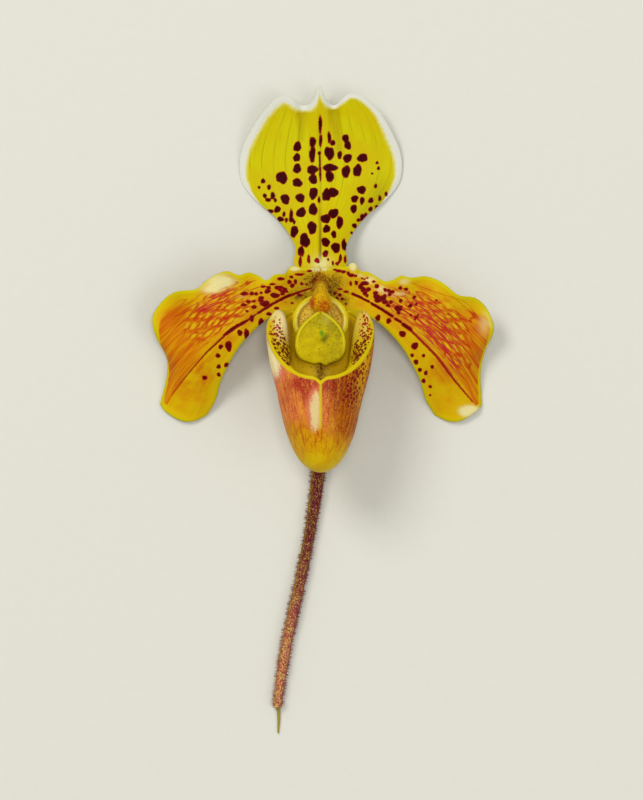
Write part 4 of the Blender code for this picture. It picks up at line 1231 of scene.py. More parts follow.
# Painted shade: two darker stripes on the back wall beside the shield, where the lobes shade it.
stripe = bump(np.abs(x), 9.8, 0.9) * ease(-10.0, -13.0, y) * ease(-29.0, -25.0, y)
add_marks(
    pouch_mesh, rim=np.where(on_wall, -rim_gap, rim_gap), keel=keel, height=y,
    fold=np.where(on_wall, 0.0, fold), right=ease(-1.0, 7.0, x),
    red=ease(-50.0, -37.0, y + uneven) * on_wall,
    crimson=patches(x, y, *POUCH_CRIMSON) * front,
    # The cream mark holds the painted highlights, the next one the side where their pink fringe goes.
    cream=patches(x, y, *POUCH_CREAM) * on_wall,
    blush=ease(-1.0, -2.6, x) * ease(-48.0, -43.0, y),
    gold=patches(x, y, *POUCH_GOLD) * front,
    freckles=patches(x, y, *POUCH_FRECKLES) * on_wall,
    lobe=ease(0.0, 0.07, fold) * at_side,
    lobe_spots=patches(x, y, *LOBE_SPOTS), lobe_dark=ease(-13.0, -20.0, y),
    lobe_cream=np.where(x < 0, 1.0, mix(0.15, 0.75, ease(13.2, 15.4, x))),
    olive=ease(114.0, 122.0, turn) * ease(0.0, 0.1, fold), stripe=stripe * behind,
    tuft=patches(x, y, (0.0, -28.0, 1.3, 4.0, 1.3)) * behind,
)
lift(pouch_mesh, relief)
print("relief runs from", round(relief.min(), 2), "to", round(relief.max(), 2), "mm")


def toe_outwards(bm):
    lowest = min(bm.faces, key=lambda face: face.calc_center_median().y)
    if lowest.normal.y > 0:
        bmesh.ops.reverse_faces(bm, faces=bm.faces[:])


rework(pouch_mesh, close, toe_outwards)

# %% [markdown]
# The outside is painted from the ground up: golden skin, an orange wash over the middle, then
# the red flush, which two stretched noises break into upright flecks. Crimson stains follow
# under the rim, then the painted cream highlights, the keel, the rim and, last of all, the two lobes.

# %% Pouch: paint
LARGE_FRECKLES, SMALL_FRECKLES = 1.25, 0.85  # spacing in millimetres


def lay_skin(paint, upright, stipple, mixed):
    """Golden toe, orange middle and the red flush, redder on the left and browner on the right."""
    paint.ground((218, 188, 3), (212, 162, 3), paint.step(paint.cloud(6.0, 3.0, 0.5), 0.35, 0.65))
    paint.lay((210, 130, 6), paint.step("height", -56.0, -43.0), 0.75)
    paint.lay((196, 96, 8), paint.step(stipple, 0.5, 0.62), 0.5)
    paint.lay((180, 70, 12), paint.step(upright, 0.53, 0.6), paint.step("height", -58.0, -50.0), 0.65)
    flushed = paint.layer((224, 120, 62), (166, 80, 8), "right")
    flecked = paint.layer((232, 164, 48), (212, 136, 4), "right")
    flushed = paint.layer(flushed, flecked, paint.times(paint.step(mixed, 0.48, 0.6), 0.9))
    stain = paint.layer((184, 50, 42), (128, 26, 8), "right")
    flushed = paint.layer(flushed, stain, paint.times(paint.step(mixed, 0.49, 0.38), 0.8))
    share = paint.times_plus(mixed, -1.0, paint.add("red", 0.5))
    paint.lay(flushed, paint.step(share, 0.1, 0.75))
    crimson = paint.layer((158, 26, 30), (112, 22, 12), "right")
    paint.lay(crimson, "crimson", paint.step(mixed, 0.7, 0.45), 0.93)


def lay_lights(paint, mixed, grain):
    """The golden edge, the freckles and the painted highlights: cream, with a pink fringe beside the
    keel.
    """
    paint.lay((224, 168, 12), "gold", paint.step(mixed, 0.3, 0.55), 0.9)
    dots = paint.freckles(1.3, paint.step("freckles", 0.1, 0.9, 0.1, 0.5), grain)
    paint.lay((122, 8, 14), dots, paint.step("freckles", 0.1, 0.3), 0.92)
    # Painted highlights: cream over the streak and patch, fading through a pink fringe at their edge.
    pale = paint.times_plus(mixed, -2.4, paint.add("cream", 1.2))
    paint.lay((214, 106, 84), paint.step(pale, 0.0, 0.4), paint.step("cream", 0.02, 0.25), "blush", 0.9)
    creams = paint.layer((224, 198, 134), (246, 232, 174), paint.step("height", -33.0, -29.0))
    paint.lay(creams, paint.step(pale, 0.35, 0.95), paint.step("cream", 0.1, 0.4))


def lay_lobes(paint, grain):
    """The two infolded lobes, yellow to cream, with maroon freckles in two sizes."""
    creamy = paint.times(paint.step("fold", 0.2, 0.5), paint.step("height", -21.0, -13.0))
    creamy = paint.maths("MAXIMUM", creamy, paint.step("height", -13.0, -9.5, 0.0, 0.8))
    lobe = paint.layer((204, 174, 8), (234, 214, 148), paint.times(creamy, "lobe_cream"))
    thickly = paint.step("lobe_spots", 0.05, 0.75)
    larger = paint.times(thickly, paint.step("lobe_dark", 0.0, 1.0, 0.42, 0.5))
    large = paint.freckles(LARGE_FRECKLES, larger, grain)
    small = paint.freckles(SMALL_FRECKLES, paint.times(thickly, 0.4), grain)
    freckled = paint.times(paint.maths("MAXIMUM", large, small), paint.step("fold", 0.02, 0.08), 0.96)
    freckle = paint.layer((160, 18, 20), (102, 8, 12), "lobe_dark")
    paint.lay(paint.layer(lobe, freckle, freckled), "lobe")
    paint.lay((196, 172, 10), "olive", 0.8)


print("the lobes' freckles lie", LARGE_FRECKLES, "and", SMALL_FRECKLES, "mm apart")

# %% [markdown]
# Two stretched noises are mixed to one, so that the flush, the stains and the painted highlights
# all follow the same upright flecks. The inside is plainer: yellow, with two stripes of painted
# shade beside the shield, and a tuft.

# %% Pouch: both sides
def pouch_outside():
    paint = Paint("pouch_outside")
    upright = paint.streaks((75.0, 7.0), 4.0, 0.65)
    stipple = paint.streaks((170.0, 44.0), 4.0, 0.8)
    speckle = paint.step(paint.cloud(0.35, 2.0, 0.7), 0.35, 0.65)
    mixed = paint.add(paint.times(upright, 0.45), paint.times(stipple, 0.55))
    mixed = paint.add(mixed, paint.times_plus(speckle, 0.12, -0.06))
    grain = paint.cloud(0.7)
    lay_skin(paint, upright, stipple, mixed)
    veins = paint.times_plus(stipple, -0.8, paint.add(paint.lattice(17.0, 9.0, 6.0), 0.4))
    broken = paint.step(paint.cloud(2.2, 4.0, 0.6, 0.4), 0.36, 0.55)
    above_toe = paint.step("height", -56.0, -50.0)
    paint.lay((170, 62, 12), paint.step(veins, 0.3, 0.02), broken, above_toe, 0.3)
    lay_lights(paint, mixed, grain)
    paint.lay((208, 182, 36), paint.step("keel", 0.3, 0.85), 0.9)
    paint.lay((214, 190, 8), paint.step("rim", -0.8, -0.4))
    lay_lobes(paint, grain)
    ridges = paint.add(paint.times(upright, 0.7), paint.times(grain, 0.3))
    return paint.done(paint.step(grain, 0.3, 0.7, 0.38, 0.5), paint.emboss(ridges, 0.08), 0.06, 0.02)


def pouch_inside():
    paint = Paint("pouch_inside")
    grain = paint.cloud(0.8, 4.0, 0.6)
    upright = paint.streaks((60.0, 6.0))
    paint.ground((248, 214, 8), (240, 196, 4), upright)
    # Painted shade: the two stripes beside the shield.
    paint.lay((168, 128, 8), "stripe", 0.8)
    dots = paint.step(paint.cells(1.3), 0.3, 0.2)
    paint.lay((150, 90, 16), dots, paint.step(grain, 0.45, 0.55), 0.4)
    paint.lay((120, 70, 30), "tuft", paint.step(grain, 0.3, 0.6))
    return paint.done(0.5, paint.emboss(grain, 0.08), 0.15)


pouch_paints = (pouch_outside(), pouch_inside())
thicken(show("pouch", pouch_mesh, pouch_paints, "pouch_russet", "lip_pouch"), POUCH_WALL)

# %% [markdown]
# The shield closes the mouth of the pouch. It is a small dished plate with a raised rim and a
# green knob, all over fine warts. A disc with rings would do, but its grid would be coarse at
# the edge, so again a grid is rolled up: u goes round, v from the middle to the edge.

# %% Shield: shape
SHIELD_MIDDLE_Y = -17.4
SHIELD_FACE = 31.6
SHIELD_THICKNESS = 1.2
SHIELD_DOME = 0.9
SHIELD_RIM = 0.5
UMBO_HEIGHT = 0.8
UMBO_RADIUS = 1.4
SHIELD_OUTLINE = (  # degrees from the top, distance from the middle
    (0.0, 9.3), (10.0, 8.4), (28.0, 7.6), (55.0, 7.4), (82.0, 7.8), (102.0, 8.4), (121.0, 9.2),
    (136.0, 9.4), (155.0, 8.9), (172.0, 8.7), (180.0, 8.3),
)


def in_arch(from_top):
    """1 in the upper part of the rim, 0 in the lower. from_top is in degrees."""
    return 1 - ease(95.0, 140.0, from_top)


def shield_shape(u, v):
    turn = 360.0 * u
    from_top = np.minimum(turn, 360.0 - turn)
    tooth = 0.06 * bump(turn, 168.0, 6.0) - 0.03 * bump(turn, 186.0, 6.0)
    reach = v * curve(SHIELD_OUTLINE, from_top) * (1 + tooth)
    height = SHIELD_FACE - SHIELD_DOME * v * v + UMBO_HEIGHT * bump(reach, 0.0, UMBO_RADIUS)
    height += SHIELD_RIM * (mix(0.25, 1.0, in_arch(from_top)) * bump(v, 0.9, 0.1) - ease(0.93, 1.0, v))
    radians = np.radians(turn)
    return reach * np.sin(radians), SHIELD_MIDDLE_Y + reach * np.cos(radians), height


shield_mesh, u, v = bent_grid("shield", 128, 44, shield_shape)
shield_points = get_points(shield_mesh)
x, y, z = shield_points.T
add_marks(
    shield_mesh, out=v, arch=in_arch(np.minimum(360.0 * u, 360.0 - 360.0 * u)),
    # At the top right lies a painted grey-cream highlight.
    top=ease(-20.0, -10.0, y), side=ease(-3.0, 6.0, x), haze=patch(x, y, 1.8, -11.4, 1.3, 1.7),
    green=patches(x, y, (0.3, -15.8, 0.6, 0.8, 1.2), (0.5, -17.0, 0.5, 1.2, 0.5)),
    # The grey patches are painted shade on the knob's lower right.
    grey=patches(x, y, (1.9, -16.9, 1.1, 0.9, 0.7), (1.2, -18.1, 0.7, 1.0, 0.8)),
)
warts = 0.10 * mottle(shield_points, 0.9, 11) + 0.10 * mottle(shield_points, 2.5, 12)
lift(shield_mesh, warts - 0.35 * patch(x, y, 0.8, -18.6, 0.9, 0.9))
rework(shield_mesh, close, face_up)
print("shield", np.ptp(shield_points, axis=0).round(1), "mm")

# %% [markdown]
# Its skin is lemon, duller above and on the right, with pits and dark flecks. The arch of the
# rim gets a painted highlight and the top right a grey-cream one, the knob is green with painted
# shade on its lower right, and the edge is darkened with painted shade where it turns down.
# The finest warts are bump, as they are too small for the mesh.

# %% Shield: paint
def shield_paint():
    paint = Paint("shield_lemon_warty")
    warts = paint.cells(0.55)
    clouds = paint.cloud(2.4)
    grain = paint.cloud(0.5, 3.0, 0.7)
    paint.ground((206, 184, 3), (194, 168, 3), paint.step(clouds, 0.35, 0.65))
    dusky = paint.add("top", paint.times("side", 0.8))
    paint.lay((156, 142, 14), dusky, paint.step(clouds, 0.2, 0.6), 0.6)
    pits = paint.add(grain, paint.times(dusky, 0.1))
    paint.lay((118, 100, 12), paint.step(pits, 0.58, 0.72), 0.5)
    paint.lay((224, 200, 10), paint.step(grain, 0.42, 0.3), 0.3)
    paint.lay((84, 66, 12), paint.freckles(1.2, 0.14, grain), 0.7)
    # Painted highlight along the raised upper arch of the rim.
    paint.lay((218, 200, 22), paint.step("out", 0.84, 0.9), "arch", 0.9)
    # Painted shade where the edge turns down.
    paint.lay((128, 104, 8), paint.step("out", 0.95, 0.99), 0.7)
    # Painted highlight, grey-cream, at the top right.
    paint.lay((200, 188, 76), "haze", paint.step(grain, 0.35, 0.6), 0.8)
    # Painted shade on the knob's lower right.
    paint.lay((104, 98, 22), "grey", 0.95)
    paint.lay((84, 144, 14), "green", 0.9)
    normal = paint.emboss(paint.add(paint.times(warts, -0.8), paint.times(grain, 0.5)), 0.14)
    return paint.done(0.55, normal, 0.06)


shield_finish = shield_paint()
shield = show("shield", shield_mesh, (shield_finish, shield_finish), "shield_lemon", "staminode")
thicken(shield, SHIELD_THICKNESS)

# %% [markdown]
# Above the shield sits a boss, a fleshy wart covered with orange hairs. It starts as a sphere
# with many rings, is stretched and narrowed towards its top, and pressed flat behind.

# %% Boss
BOSS_PLACE = (0.2, -4.9, 29.8)
BOSS_SIZE = (2.8, 4.5, 3.2)
BOSS_TAPER = 0.7
BOSS_BACK = 27.4


def boss_red(x, y):
    return 1.1 * patch(x, y, -2.6, -6.3, 1.0, 1.8) + 1.2 * patch(x, y, 1.0, -7.6, 1.8, 2.2)


def narrowed_ball(bm):
    bmesh.ops.create_uvsphere(bm, u_segments=64, v_segments=40, radius=1.0)
    for vert in bm.verts:
        vert.co.x *= 1.0 - BOSS_TAPER * vert.co.y


boss_mesh = new_mesh("boss", narrowed_ball)
points = read_vectors(boss_mesh.vertices, "co") * BOSS_SIZE + BOSS_PLACE
points[:, 2] = np.maximum(points[:, 2], BOSS_BACK)
put_points(boss_mesh, points)
lift(boss_mesh, 0.18 * mottle(points, 0.8, 13) * (points[:, 2] > BOSS_BACK + 0.1))
add_marks(boss_mesh, red=np.clip(boss_red(points[:, 0], points[:, 1]), 0.0, 1.0))


def boss_paint():
    paint = Paint("boss_orange")
    warts = paint.cells(0.6)
    grain = paint.cloud(0.7)
    paint.ground((228, 192, 8), (214, 162, 6), paint.step(grain, 0.35, 0.65))
    paint.lay((150, 80, 8), paint.step(warts, 0.3, 0.18), 0.7)
    paint.lay((212, 92, 8), "red", paint.step(grain, 0.35, 0.55), 0.9)
    return paint.done(0.6, paint.emboss(warts, 0.15), 0.06)


show("boss", boss_mesh, (boss_paint(),), "shield_lemon")

# %% [markdown]
# The column carries the shield. From the front only its two arms show, the raised rim of a
# shallow hood, with freckled brown hollows between them and the shield. The stalk behind is a
# tube, and the stigma a small pad. Each is its own closed mesh, set into its neighbour.

# %% Column: shapes
COLUMN_LINE = (  # share, y and z of its middle
    (0.0, -1.4, COLUMN_FOOT), (0.3, -1.6, 18.5), (0.7, -3.4, 23.5), (1.0, -4.6, BOSS_BACK - SEAM),
)
COLUMN_LEAN = 0.5
COLUMN_RADIUS = ((0.0, 2.5), (0.5, 2.0), (0.8, 2.3), (1.0, 2.8))
ARM_MIDDLE_Y = -12.6
ARM_REACH = 9.0
ARM_HOLLOW = 26.0
ARM_RIM = 28.4
ARM_TOP_DIP = 2.6
ARM_FOOT_DIP = 1.3
ARM_ROUND = 0.6
ARM_THICKNESS = 1.0
ARM_SPAN = 118.0
STIGMA_PLACE = (0.0, -6.6, 21.6)
STIGMA_SIZE = (3.4, 3.0, 1.3)
STIGMA_TILT = math.radians(35)


def ring_points(centre, side, up, radius, angle):
    """Points round a tube's line, each argument an array or a triple of arrays."""
    return [c + (s * np.cos(angle) + p * np.sin(angle)) * radius for c, s, p in zip(centre, side, up)]


def column_shape(u, v):
    y, z = curve(COLUMN_LINE, v)
    lean = COLUMN_LEAN * ease(0.0, 0.3, v) * (1 - ease(0.75, 1.0, v))
    up = (0.0, np.cos(lean), np.sin(lean))
    return ring_points((0.0, y, z), (1.0, 0.0, 0.0), up, curve(COLUMN_RADIUS, v), 2 * np.pi * u)


def arms_shape(u, v):
    across = 2 * u - 1
    radians = np.radians(ARM_SPAN * across)
    reach = mix(2.0, ARM_REACH, v) * mix(1.0, 0.93, across**4)
    rim = ARM_RIM - ARM_TOP_DIP * bump(across, 0.0, 0.42) - ARM_FOOT_DIP * np.abs(across) ** 3
    height = mix(ARM_HOLLOW, rim, ease(0.66, 0.84, v)) - ARM_ROUND * ease(0.88, 1.0, v)
    return reach * np.sin(radians), ARM_MIDDLE_Y + reach * np.cos(radians), height


print("the arms reach", ARM_REACH, "mm from their middle")

# %% [markdown]
# The column is yellow, with a painted cream highlight along the crest of its arms, freckled
# brown in the hollows and rusty where hairs grow. The stigma is cream. One recipe paints all of its
# pieces, and their marks say where they are painted highlight or cream, hollow or fuzz.

# %% Column: paint
def column_paint():
    paint = Paint("column_cream")
    grain = paint.cloud(0.6, 3.0, 0.65)
    clouds = paint.cloud(2.5)
    paint.ground((218, 198, 22), (212, 186, 16), clouds)
    # Painted highlight in cream along the crest of the arms; the stigma is cream all over.
    paint.lay((236, 224, 118), "ridge", paint.step(clouds, 0.3, 0.6))
    paint.lay((234, 194, 64), "hollow", 0.9)
    paint.lay((168, 104, 12), "fuzz", paint.step(grain, 0.3, 0.6), 0.9)
    dots = paint.step(paint.cells(0.62), 0.46, 0.28)
    paint.lay((140, 64, 22), dots, "hollow", paint.step(grain, 0.38, 0.5), 0.8)
    return paint.done(0.5, paint.emboss(grain, 0.08), 0.08)


column_finish = column_paint()

# %% [markdown]
# The arms are a thickened sheet and the stalk is a closed tube. The stigma is a ball that is
# flattened, tilted and moved to its place by bmesh's own operators.

# %% Column: its three pieces
arms_mesh, u, v = bent_grid("column_arms", 120, 44, arms_shape)
arms_points = get_points(arms_mesh)
hollow = ease(0.79, 0.72, v)
fuzz = 0.45 * hollow * ease(1.0, 5.0, arms_points[:, 0])
# The crest of the arms gets a painted cream highlight.
add_marks(arms_mesh, ridge=bump(v, 0.82, 0.06), hollow=hollow, fuzz=fuzz)
rework(arms_mesh, face_up)
lift(arms_mesh, 0.08 * mottle(arms_points, 1.6, 14))
arms = show("column_arms", arms_mesh, (column_finish, column_finish), "column_cream", "column")
thicken(arms, ARM_THICKNESS)

stalk_mesh, u, v = bent_grid("column_stalk", 48, 40, column_shape)
add_marks(stalk_mesh, ridge=0.0, hollow=0.0, fuzz=1.0)
rework(stalk_mesh, close, fill_ends)
show("column_stalk", stalk_mesh, (column_finish,), "column_cream")


def tilted_pad(bm):
    bmesh.ops.create_uvsphere(bm, u_segments=40, v_segments=24, radius=1.0)
    bmesh.ops.scale(bm, verts=bm.verts[:], vec=STIGMA_SIZE)
    bmesh.ops.rotate(bm, verts=bm.verts[:], cent=(0, 0, 0), matrix=Matrix.Rotation(STIGMA_TILT, 3, "X"))
    bmesh.ops.translate(bm, verts=bm.verts[:], vec=Vector(STIGMA_PLACE) + Vector(TO_ORIGIN))
    bmesh.ops.scale(bm, verts=bm.verts[:], vec=(MM, MM, MM))


stigma_mesh = new_mesh("stigma", tilted_pad)
add_marks(stigma_mesh, ridge=1.0, hollow=0.0, fuzz=0.0)
show("stigma", stigma_mesh, (column_finish,), "column_cream")

# %% [markdown]
# The lower sepal is really two sepals grown together. It lies behind the pouch and shows only
# from the side and from behind: pale green, with brown-dotted veins near its base.

# %% Lower sepal
SYNSEPAL_LENGTH = 47.0
SYNSEPAL_CUP = 1.5
SYNSEPAL_VEINS_A_SIDE = 4.5
SYNSEPAL_WIDTH = (  # share of the length, half width
    (0.0, 4.0), (0.12, 5.4), (0.35, 9.0), (0.55, 9.8), (0.78, 7.8), (0.93, 4.2), (1.0, 1.0),
)
SYNSEPAL_MIDDLE = (  # share of the length, height
    (0.0, SEPAL_FACE), (0.1, SEPAL_FACE), (0.3, 11.9), (0.6, 9.6), (0.85, 9.4), (1.0, 10.4),
)


def lower_sepal_shape(u, v):
    across = 2 * u - 1
    x = across * curve(SYNSEPAL_WIDTH, v)
    height = curve(SYNSEPAL_MIDDLE, v) + SYNSEPAL_CUP * ease(0.1, 0.5, v) * across**2
    return x, -SEPAL_BASE_Y - SYNSEPAL_LENGTH * v, height


lower_mesh, u, v = bent_grid("lower_sepal", 70, 150, lower_sepal_shape)
rework(lower_mesh, face_up)
lower_points = get_points(lower_mesh)
lower_edge = margin_distance(lower_points, at_start(u) | at_end(u) | at_end(v))
lower_vein = (2 * u - 1) * SYNSEPAL_VEINS_A_SIDE
add_marks(lower_mesh, vein=lower_vein, edge=lower_edge, base=1 - ease(0.0, 0.5, v))
swell = 0.4 * mottle(lower_points, 9.0, 15) * ease(0.1, 0.3, v)
lift(lower_mesh, swell - 0.10 * np.cos(2 * np.pi * lower_vein) ** 2 ** 3)
print("lower sepal", np.ptp(lower_points, axis=0).round(1), "mm")


def lower_sepal_paint(name, green, brown):
    paint = Paint(name)
    streaks = paint.streaks((40.0, 4.0))
    grain = paint.cloud(1.2, 4.0, 0.6)
    paint.ground(green, (176, 182, 92), streaks)
    gap = paint.maths("PINGPONG", "vein", 0.5)
    paint.lay((122, 138, 44), paint.step(gap, 0.12, 0.02), 0.7)
    paint.lay(brown, paint.step(gap, 0.16, 0.06), "base", paint.step(grain, 0.5, 0.58), 0.8)
    paint.lay((214, 214, 170), paint.step("edge", 1.4, 0.4))
    return paint.done(0.5, paint.emboss(paint.add(streaks, grain), 0.08), 0.25)


lower_paints = (
    lower_sepal_paint("lower_sepal_front", (158, 168, 58), (110, 50, 30)),
    lower_sepal_paint("lower_sepal_back", (140, 154, 56), (120, 84, 50)),
)
thicken(show("lower_sepal", lower_mesh, lower_paints, "sepal_green", "synsepal"), BLADE, lower_edge, 3.0)

# %% [markdown]
# Behind the bloom its ovary bends down to the table, swells into six blunt ribs and runs on
# as the stem. The ovary and the stem are tubes: rings round a line, with the ribs as a small
# change of radius. Where they lie on the table they are pressed flat.

# %% Ovary and stem: shapes
OVARY_LINE = (  # share, y and z of its middle
    (0.0, -34.8, 2.3), (0.3, -24.0, 2.5), (0.55, -14.5, 2.5), (0.7, -8.6, 3.4), (0.84, -3.6, 6.4),
    (0.94, -0.8, 10.4), (1.0, -0.2, HUB_FACE),
)
OVARY_RADIUS = (
    (0.0, 1.9), (0.15, 2.3), (0.4, 2.8), (0.65, 2.8), (0.84, 2.6), (0.93, 3.1), (0.975, 4.6), (1.0, 5.0),
)
OVARY_RIBS = 6
OVARY_RIB_DEPTH = 0.05
RECEPTACLE_FROM = 0.93
SLOPE_STEP = 0.02  # share of the length over which the line's slope is measured
STEM_LINE = (  # share, x, y and radius
    (0.0, 0.0, -34.0 - SEAM, 2.2), (0.13, 0.0, -46.0, 2.25), (0.27, -0.8, -60.0, 2.2),
    (0.46, -3.4, -79.0, 1.75), (0.64, -7.0, -97.0, 1.8), (0.81, -10.8, -114.5, 1.75),
    (0.92, -12.7, -126.0, 1.6), (1.0, -13.9, -135.4, 1.45),
)
STEM_SEAT = 0.92  # height of the stem's middle, as a share of its radius
SLIVER_TIP = (-13.5, -143.7, 0.5)
SLIVER_ROOT = (-13.2, -130.0, 0.8)
SLIVER_FLATNESS = 0.55
SLIVER_RADII = (0.9, 0.25)


def on_table(tube):
    """Presses a tube's points flat where they would sink into the table."""
    x, y, z = tube
    return x, y, np.maximum(z, 0.0)


def ovary_shape(u, v):
    angle = 2 * np.pi * u
    y, z = curve(OVARY_LINE, v)
    y0, z0 = curve(OVARY_LINE, np.maximum(v - SLOPE_STEP, 0.0))
    y1, z1 = curve(OVARY_LINE, np.minimum(v + SLOPE_STEP, 1.0))
    lean = mix(np.arctan2(z1 - z0, y1 - y0), np.pi / 2, ease(RECEPTACLE_FROM, 0.99, v))
    ribs = 1 + OVARY_RIB_DEPTH * np.cos(OVARY_RIBS * (angle - np.pi / 2))
    up = (0.0, -np.sin(lean), np.cos(lean))
    return on_table(ring_points((0.0, y, z), (1.0, 0.0, 0.0), up, curve(OVARY_RADIUS, v) * ribs, angle))


def stem_shape(u, v):
    x, y, radius = curve(STEM_LINE, v)
    angle = 2 * np.pi * u
    middle = (x, y, STEM_SEAT * radius)
    ridges = 1 + 0.02 * np.cos(9 * angle) + 0.015 * np.sin(38 * v)
    return on_table(ring_points(middle, (1.0, 0.0, 0.0), (0.0, 0.0, 1.0), radius * ridges, angle))


def sliver_shape(u, v):
    angle = 2 * np.pi * u
    middle = [mix(a, b, v) for a, b in zip(SLIVER_ROOT, SLIVER_TIP)]
    radius = mix(*SLIVER_RADII, v) * (1 + 0.12 * np.sin(11 * v + angle))
    return on_table(ring_points(middle, (1.0, 0.0, 0.0), (0.0, 0.0, SLIVER_FLATNESS), radius, angle))


print("the stem is", round(STEM_LINE[0][2] - STEM_LINE[-1][2], 1), "mm long")

# %% [markdown]
# The skin is purple with long flecks of green, and pinker and more golden towards the cut. The
# stem has a painted yellow highlight down its left side and painted purple shade down its right.
# The ovary is greener. Both come from one recipe, with other colours.

# %% Ovary and stem: paint
def stem_paint(name, skin, fleck, pink_from, pink_to):
    """Dark purple skin, flecked with green, pinker towards the cut, with painted shade down the right
    side and a painted highlight down the left.
    """
    paint = Paint(name)
    clouds = paint.cloud(3.0)
    grain = paint.cloud(0.6)
    blades = paint.cloud(1.0, 3.0, 0.65, where=paint.spread((3.8, 1.7, 3.8), "Object"))
    low = paint.step("down", pink_from, pink_to)
    paint.ground(skin, (184, 84, 76), paint.times(low, 0.95))
    paint.lay((70, 8, 26), paint.step(blades, 0.5, 0.38), paint.step(low, 1.0, 0.0, 0.3, 0.8))
    share = paint.add(blades, paint.times(paint.take(0.5, clouds), 0.3))
    flecks = paint.step(paint.times_plus(low, 0.04, share), 0.56, 0.59)
    paint.lay(paint.layer(fleck, (224, 192, 104), low), flecks, 0.92)
    # Painted shade in purple down the right side, and a painted yellow highlight down the left.
    paint.lay((124, 28, 58), "right", paint.step(grain, 0.6, 0.4), 0.7)
    paint.lay((170, 150, 26), "left", paint.step(grain, 0.3, 0.6), 0.7)
    return paint.done(0.6, paint.emboss(grain, 0.12), 0.12)


stem_finish = stem_paint("stem_purple", (104, 22, 36), (196, 172, 56), 0.42, 0.95)
ovary_finish = stem_paint("ovary_purple", (104, 50, 40), (128, 124, 44), 2.0, 3.0)

# %% [markdown]
# Each tube is closed along its seam and filled at its ends. A strip of skin is torn loose at
# the cut and lies on the table. It is a flatter tube with a finish of its own.

# %% Ovary and stem: their pieces
ovary_mesh, u, v = bent_grid("ovary", 96, 120, ovary_shape)
add_marks(ovary_mesh, down=v, left=0.0, right=0.0)
rework(ovary_mesh, close, fill_ends)
show("ovary", ovary_mesh, (ovary_finish,), "stem_purple", "ovary")

stem_mesh, u, v = bent_grid("stem", 56, 300, stem_shape)
sideways = np.cos(2 * np.pi * u)
# These marks place the painted highlight on the stem's left side and the painted shade on its right.
add_marks(stem_mesh, down=v, left=bump(sideways, -0.95, 0.28), right=bump(sideways, 0.95, 0.3))
rework(stem_mesh, close, fill_ends)
show("stem", stem_mesh, (stem_finish,), "stem_purple", "stem")


def sliver_paint():
    paint = Paint("stem_torn_strip")
    fibres = paint.streaks((18.0, 3.0))
    paint.ground((176, 158, 56), (132, 112, 34), fibres)
    paint.lay((120, 60, 44), paint.step(paint.cloud(1.5, 3.0, 0.55), 0.55, 0.7))
    return paint.done(0.6, paint.emboss(fibres, 0.1), 0.25)


sliver_mesh, u, v = bent_grid("stem_sliver", 24, 40, sliver_shape)
rework(sliver_mesh, close, fill_ends)
show("stem_sliver", sliver_mesh, (sliver_paint(),), "stem_purple")

# %% [markdown]
# A green bract sheathes the top of the stem, open underneath, and its point lies over the
# ovary. It is one more bent sheet, wrapped round the stem's line.

# %% Bract
BRACT_FROM_Y = -30.0
BRACT_LENGTH = 25.0
BRACT_RADIUS = (  # share of its length, distance from the stem's middle, x of that middle
    (0.0, 4.0, 0.0), (0.25, 3.8, 0.0), (0.6, 3.5, 0.0), (1.0, 3.3, -0.5),
)
BRACT_HALF_TURN = ((0.0, 14.0), (0.2, 66.0), (0.5, 104.0), (1.0, 112.0))
BRACT_MIDDLE = 2.2
BRACT_RIBS = 9


def bract_shape(u, v):
    turn = np.radians(curve(BRACT_HALF_TURN, v)) * (2 * u - 1)
    radius, middle_x = curve(BRACT_RADIUS, v)
    y = BRACT_FROM_Y - BRACT_LENGTH * v
    return middle_x + radius * np.sin(turn), y, BRACT_MIDDLE + radius * np.cos(turn)


def bract_paint():
    paint = Paint("bract_green")
    streaks = paint.streaks((40.0, 2.0))
    paint.ground((132, 142, 52), (102, 118, 44), streaks)
    dots = paint.step(paint.cells(1.1), 0.34, 0.2)
    paint.lay((86, 40, 36), dots, paint.step(paint.cloud(3.0, 3.0, 0.55), 0.45, 0.6), 0.8)
    return paint.done(0.5, paint.emboss(streaks, 0.12), 0.3)


bract_mesh, u, v = bent_grid("bract", 60, 90, bract_shape)
rework(bract_mesh, face_up)
on_edge = at_start(u) | at_end(u) | at_start(v) | at_end(v)
bract_edge = margin_distance(get_points(bract_mesh), on_edge)
lift(bract_mesh, 0.06 * np.cos(2 * np.pi * BRACT_RIBS * u) * ease(0.0, 1.5, bract_edge))
bract_finish = bract_paint()
bract = show("bract", bract_mesh, (bract_finish, bract_finish), "bract_green", "bract")
thicken(bract, BLADE, bract_edge, 2.0)

# %% [markdown]
# Hairs make the flower look alive: bristles on the stem and ovary, dark tufts at the roots of
# the petals, a golden and orange pelt on the boss. Blender's hair would be lost in an export,
# so each hair is a thin three-sided cone. One bmesh collects all the hairs of a place.

# %% Hairs: growing them
HAIR_SUNK = 0.15  # how deep a hair's foot is sunk


def grow_hairs(name, hairs, width, material, slot):
    """hairs holds (root, direction, length) in millimetres, with unit directions."""

    def all_cones(bm):
        for root, direction, length in hairs:
            turn = Vector((0.0, 0.0, 1.0)).rotation_difference(direction).to_matrix().to_4x4()
            middle = Vector(root) + direction * (length / 2 - HAIR_SUNK) + Vector(TO_ORIGIN)
            bmesh.ops.create_cone(
                bm, cap_ends=True, segments=3, radius1=width / 2 * MM, radius2=width / 12 * MM,
                depth=length * MM, matrix=Matrix.Translation(middle * MM) @ turn)

    return show(name, new_mesh(name, all_cones), (material,), slot)


def hair_paint(name, dark, light):
    paint = Paint(name)
    paint.ground(dark, light, paint.step(paint.cloud(0.9, 2.0, 0.5), 0.4, 0.6))
    return paint.done(0.5)


# %% [markdown]
# The roots are scattered over the surfaces by the same formulas that bent their grids, and the
# direction comes from the slope there. A seeded dice makes every hair lean a little its own
# way. On a petal, a soft patch says how likely a hair is to grow at each place.

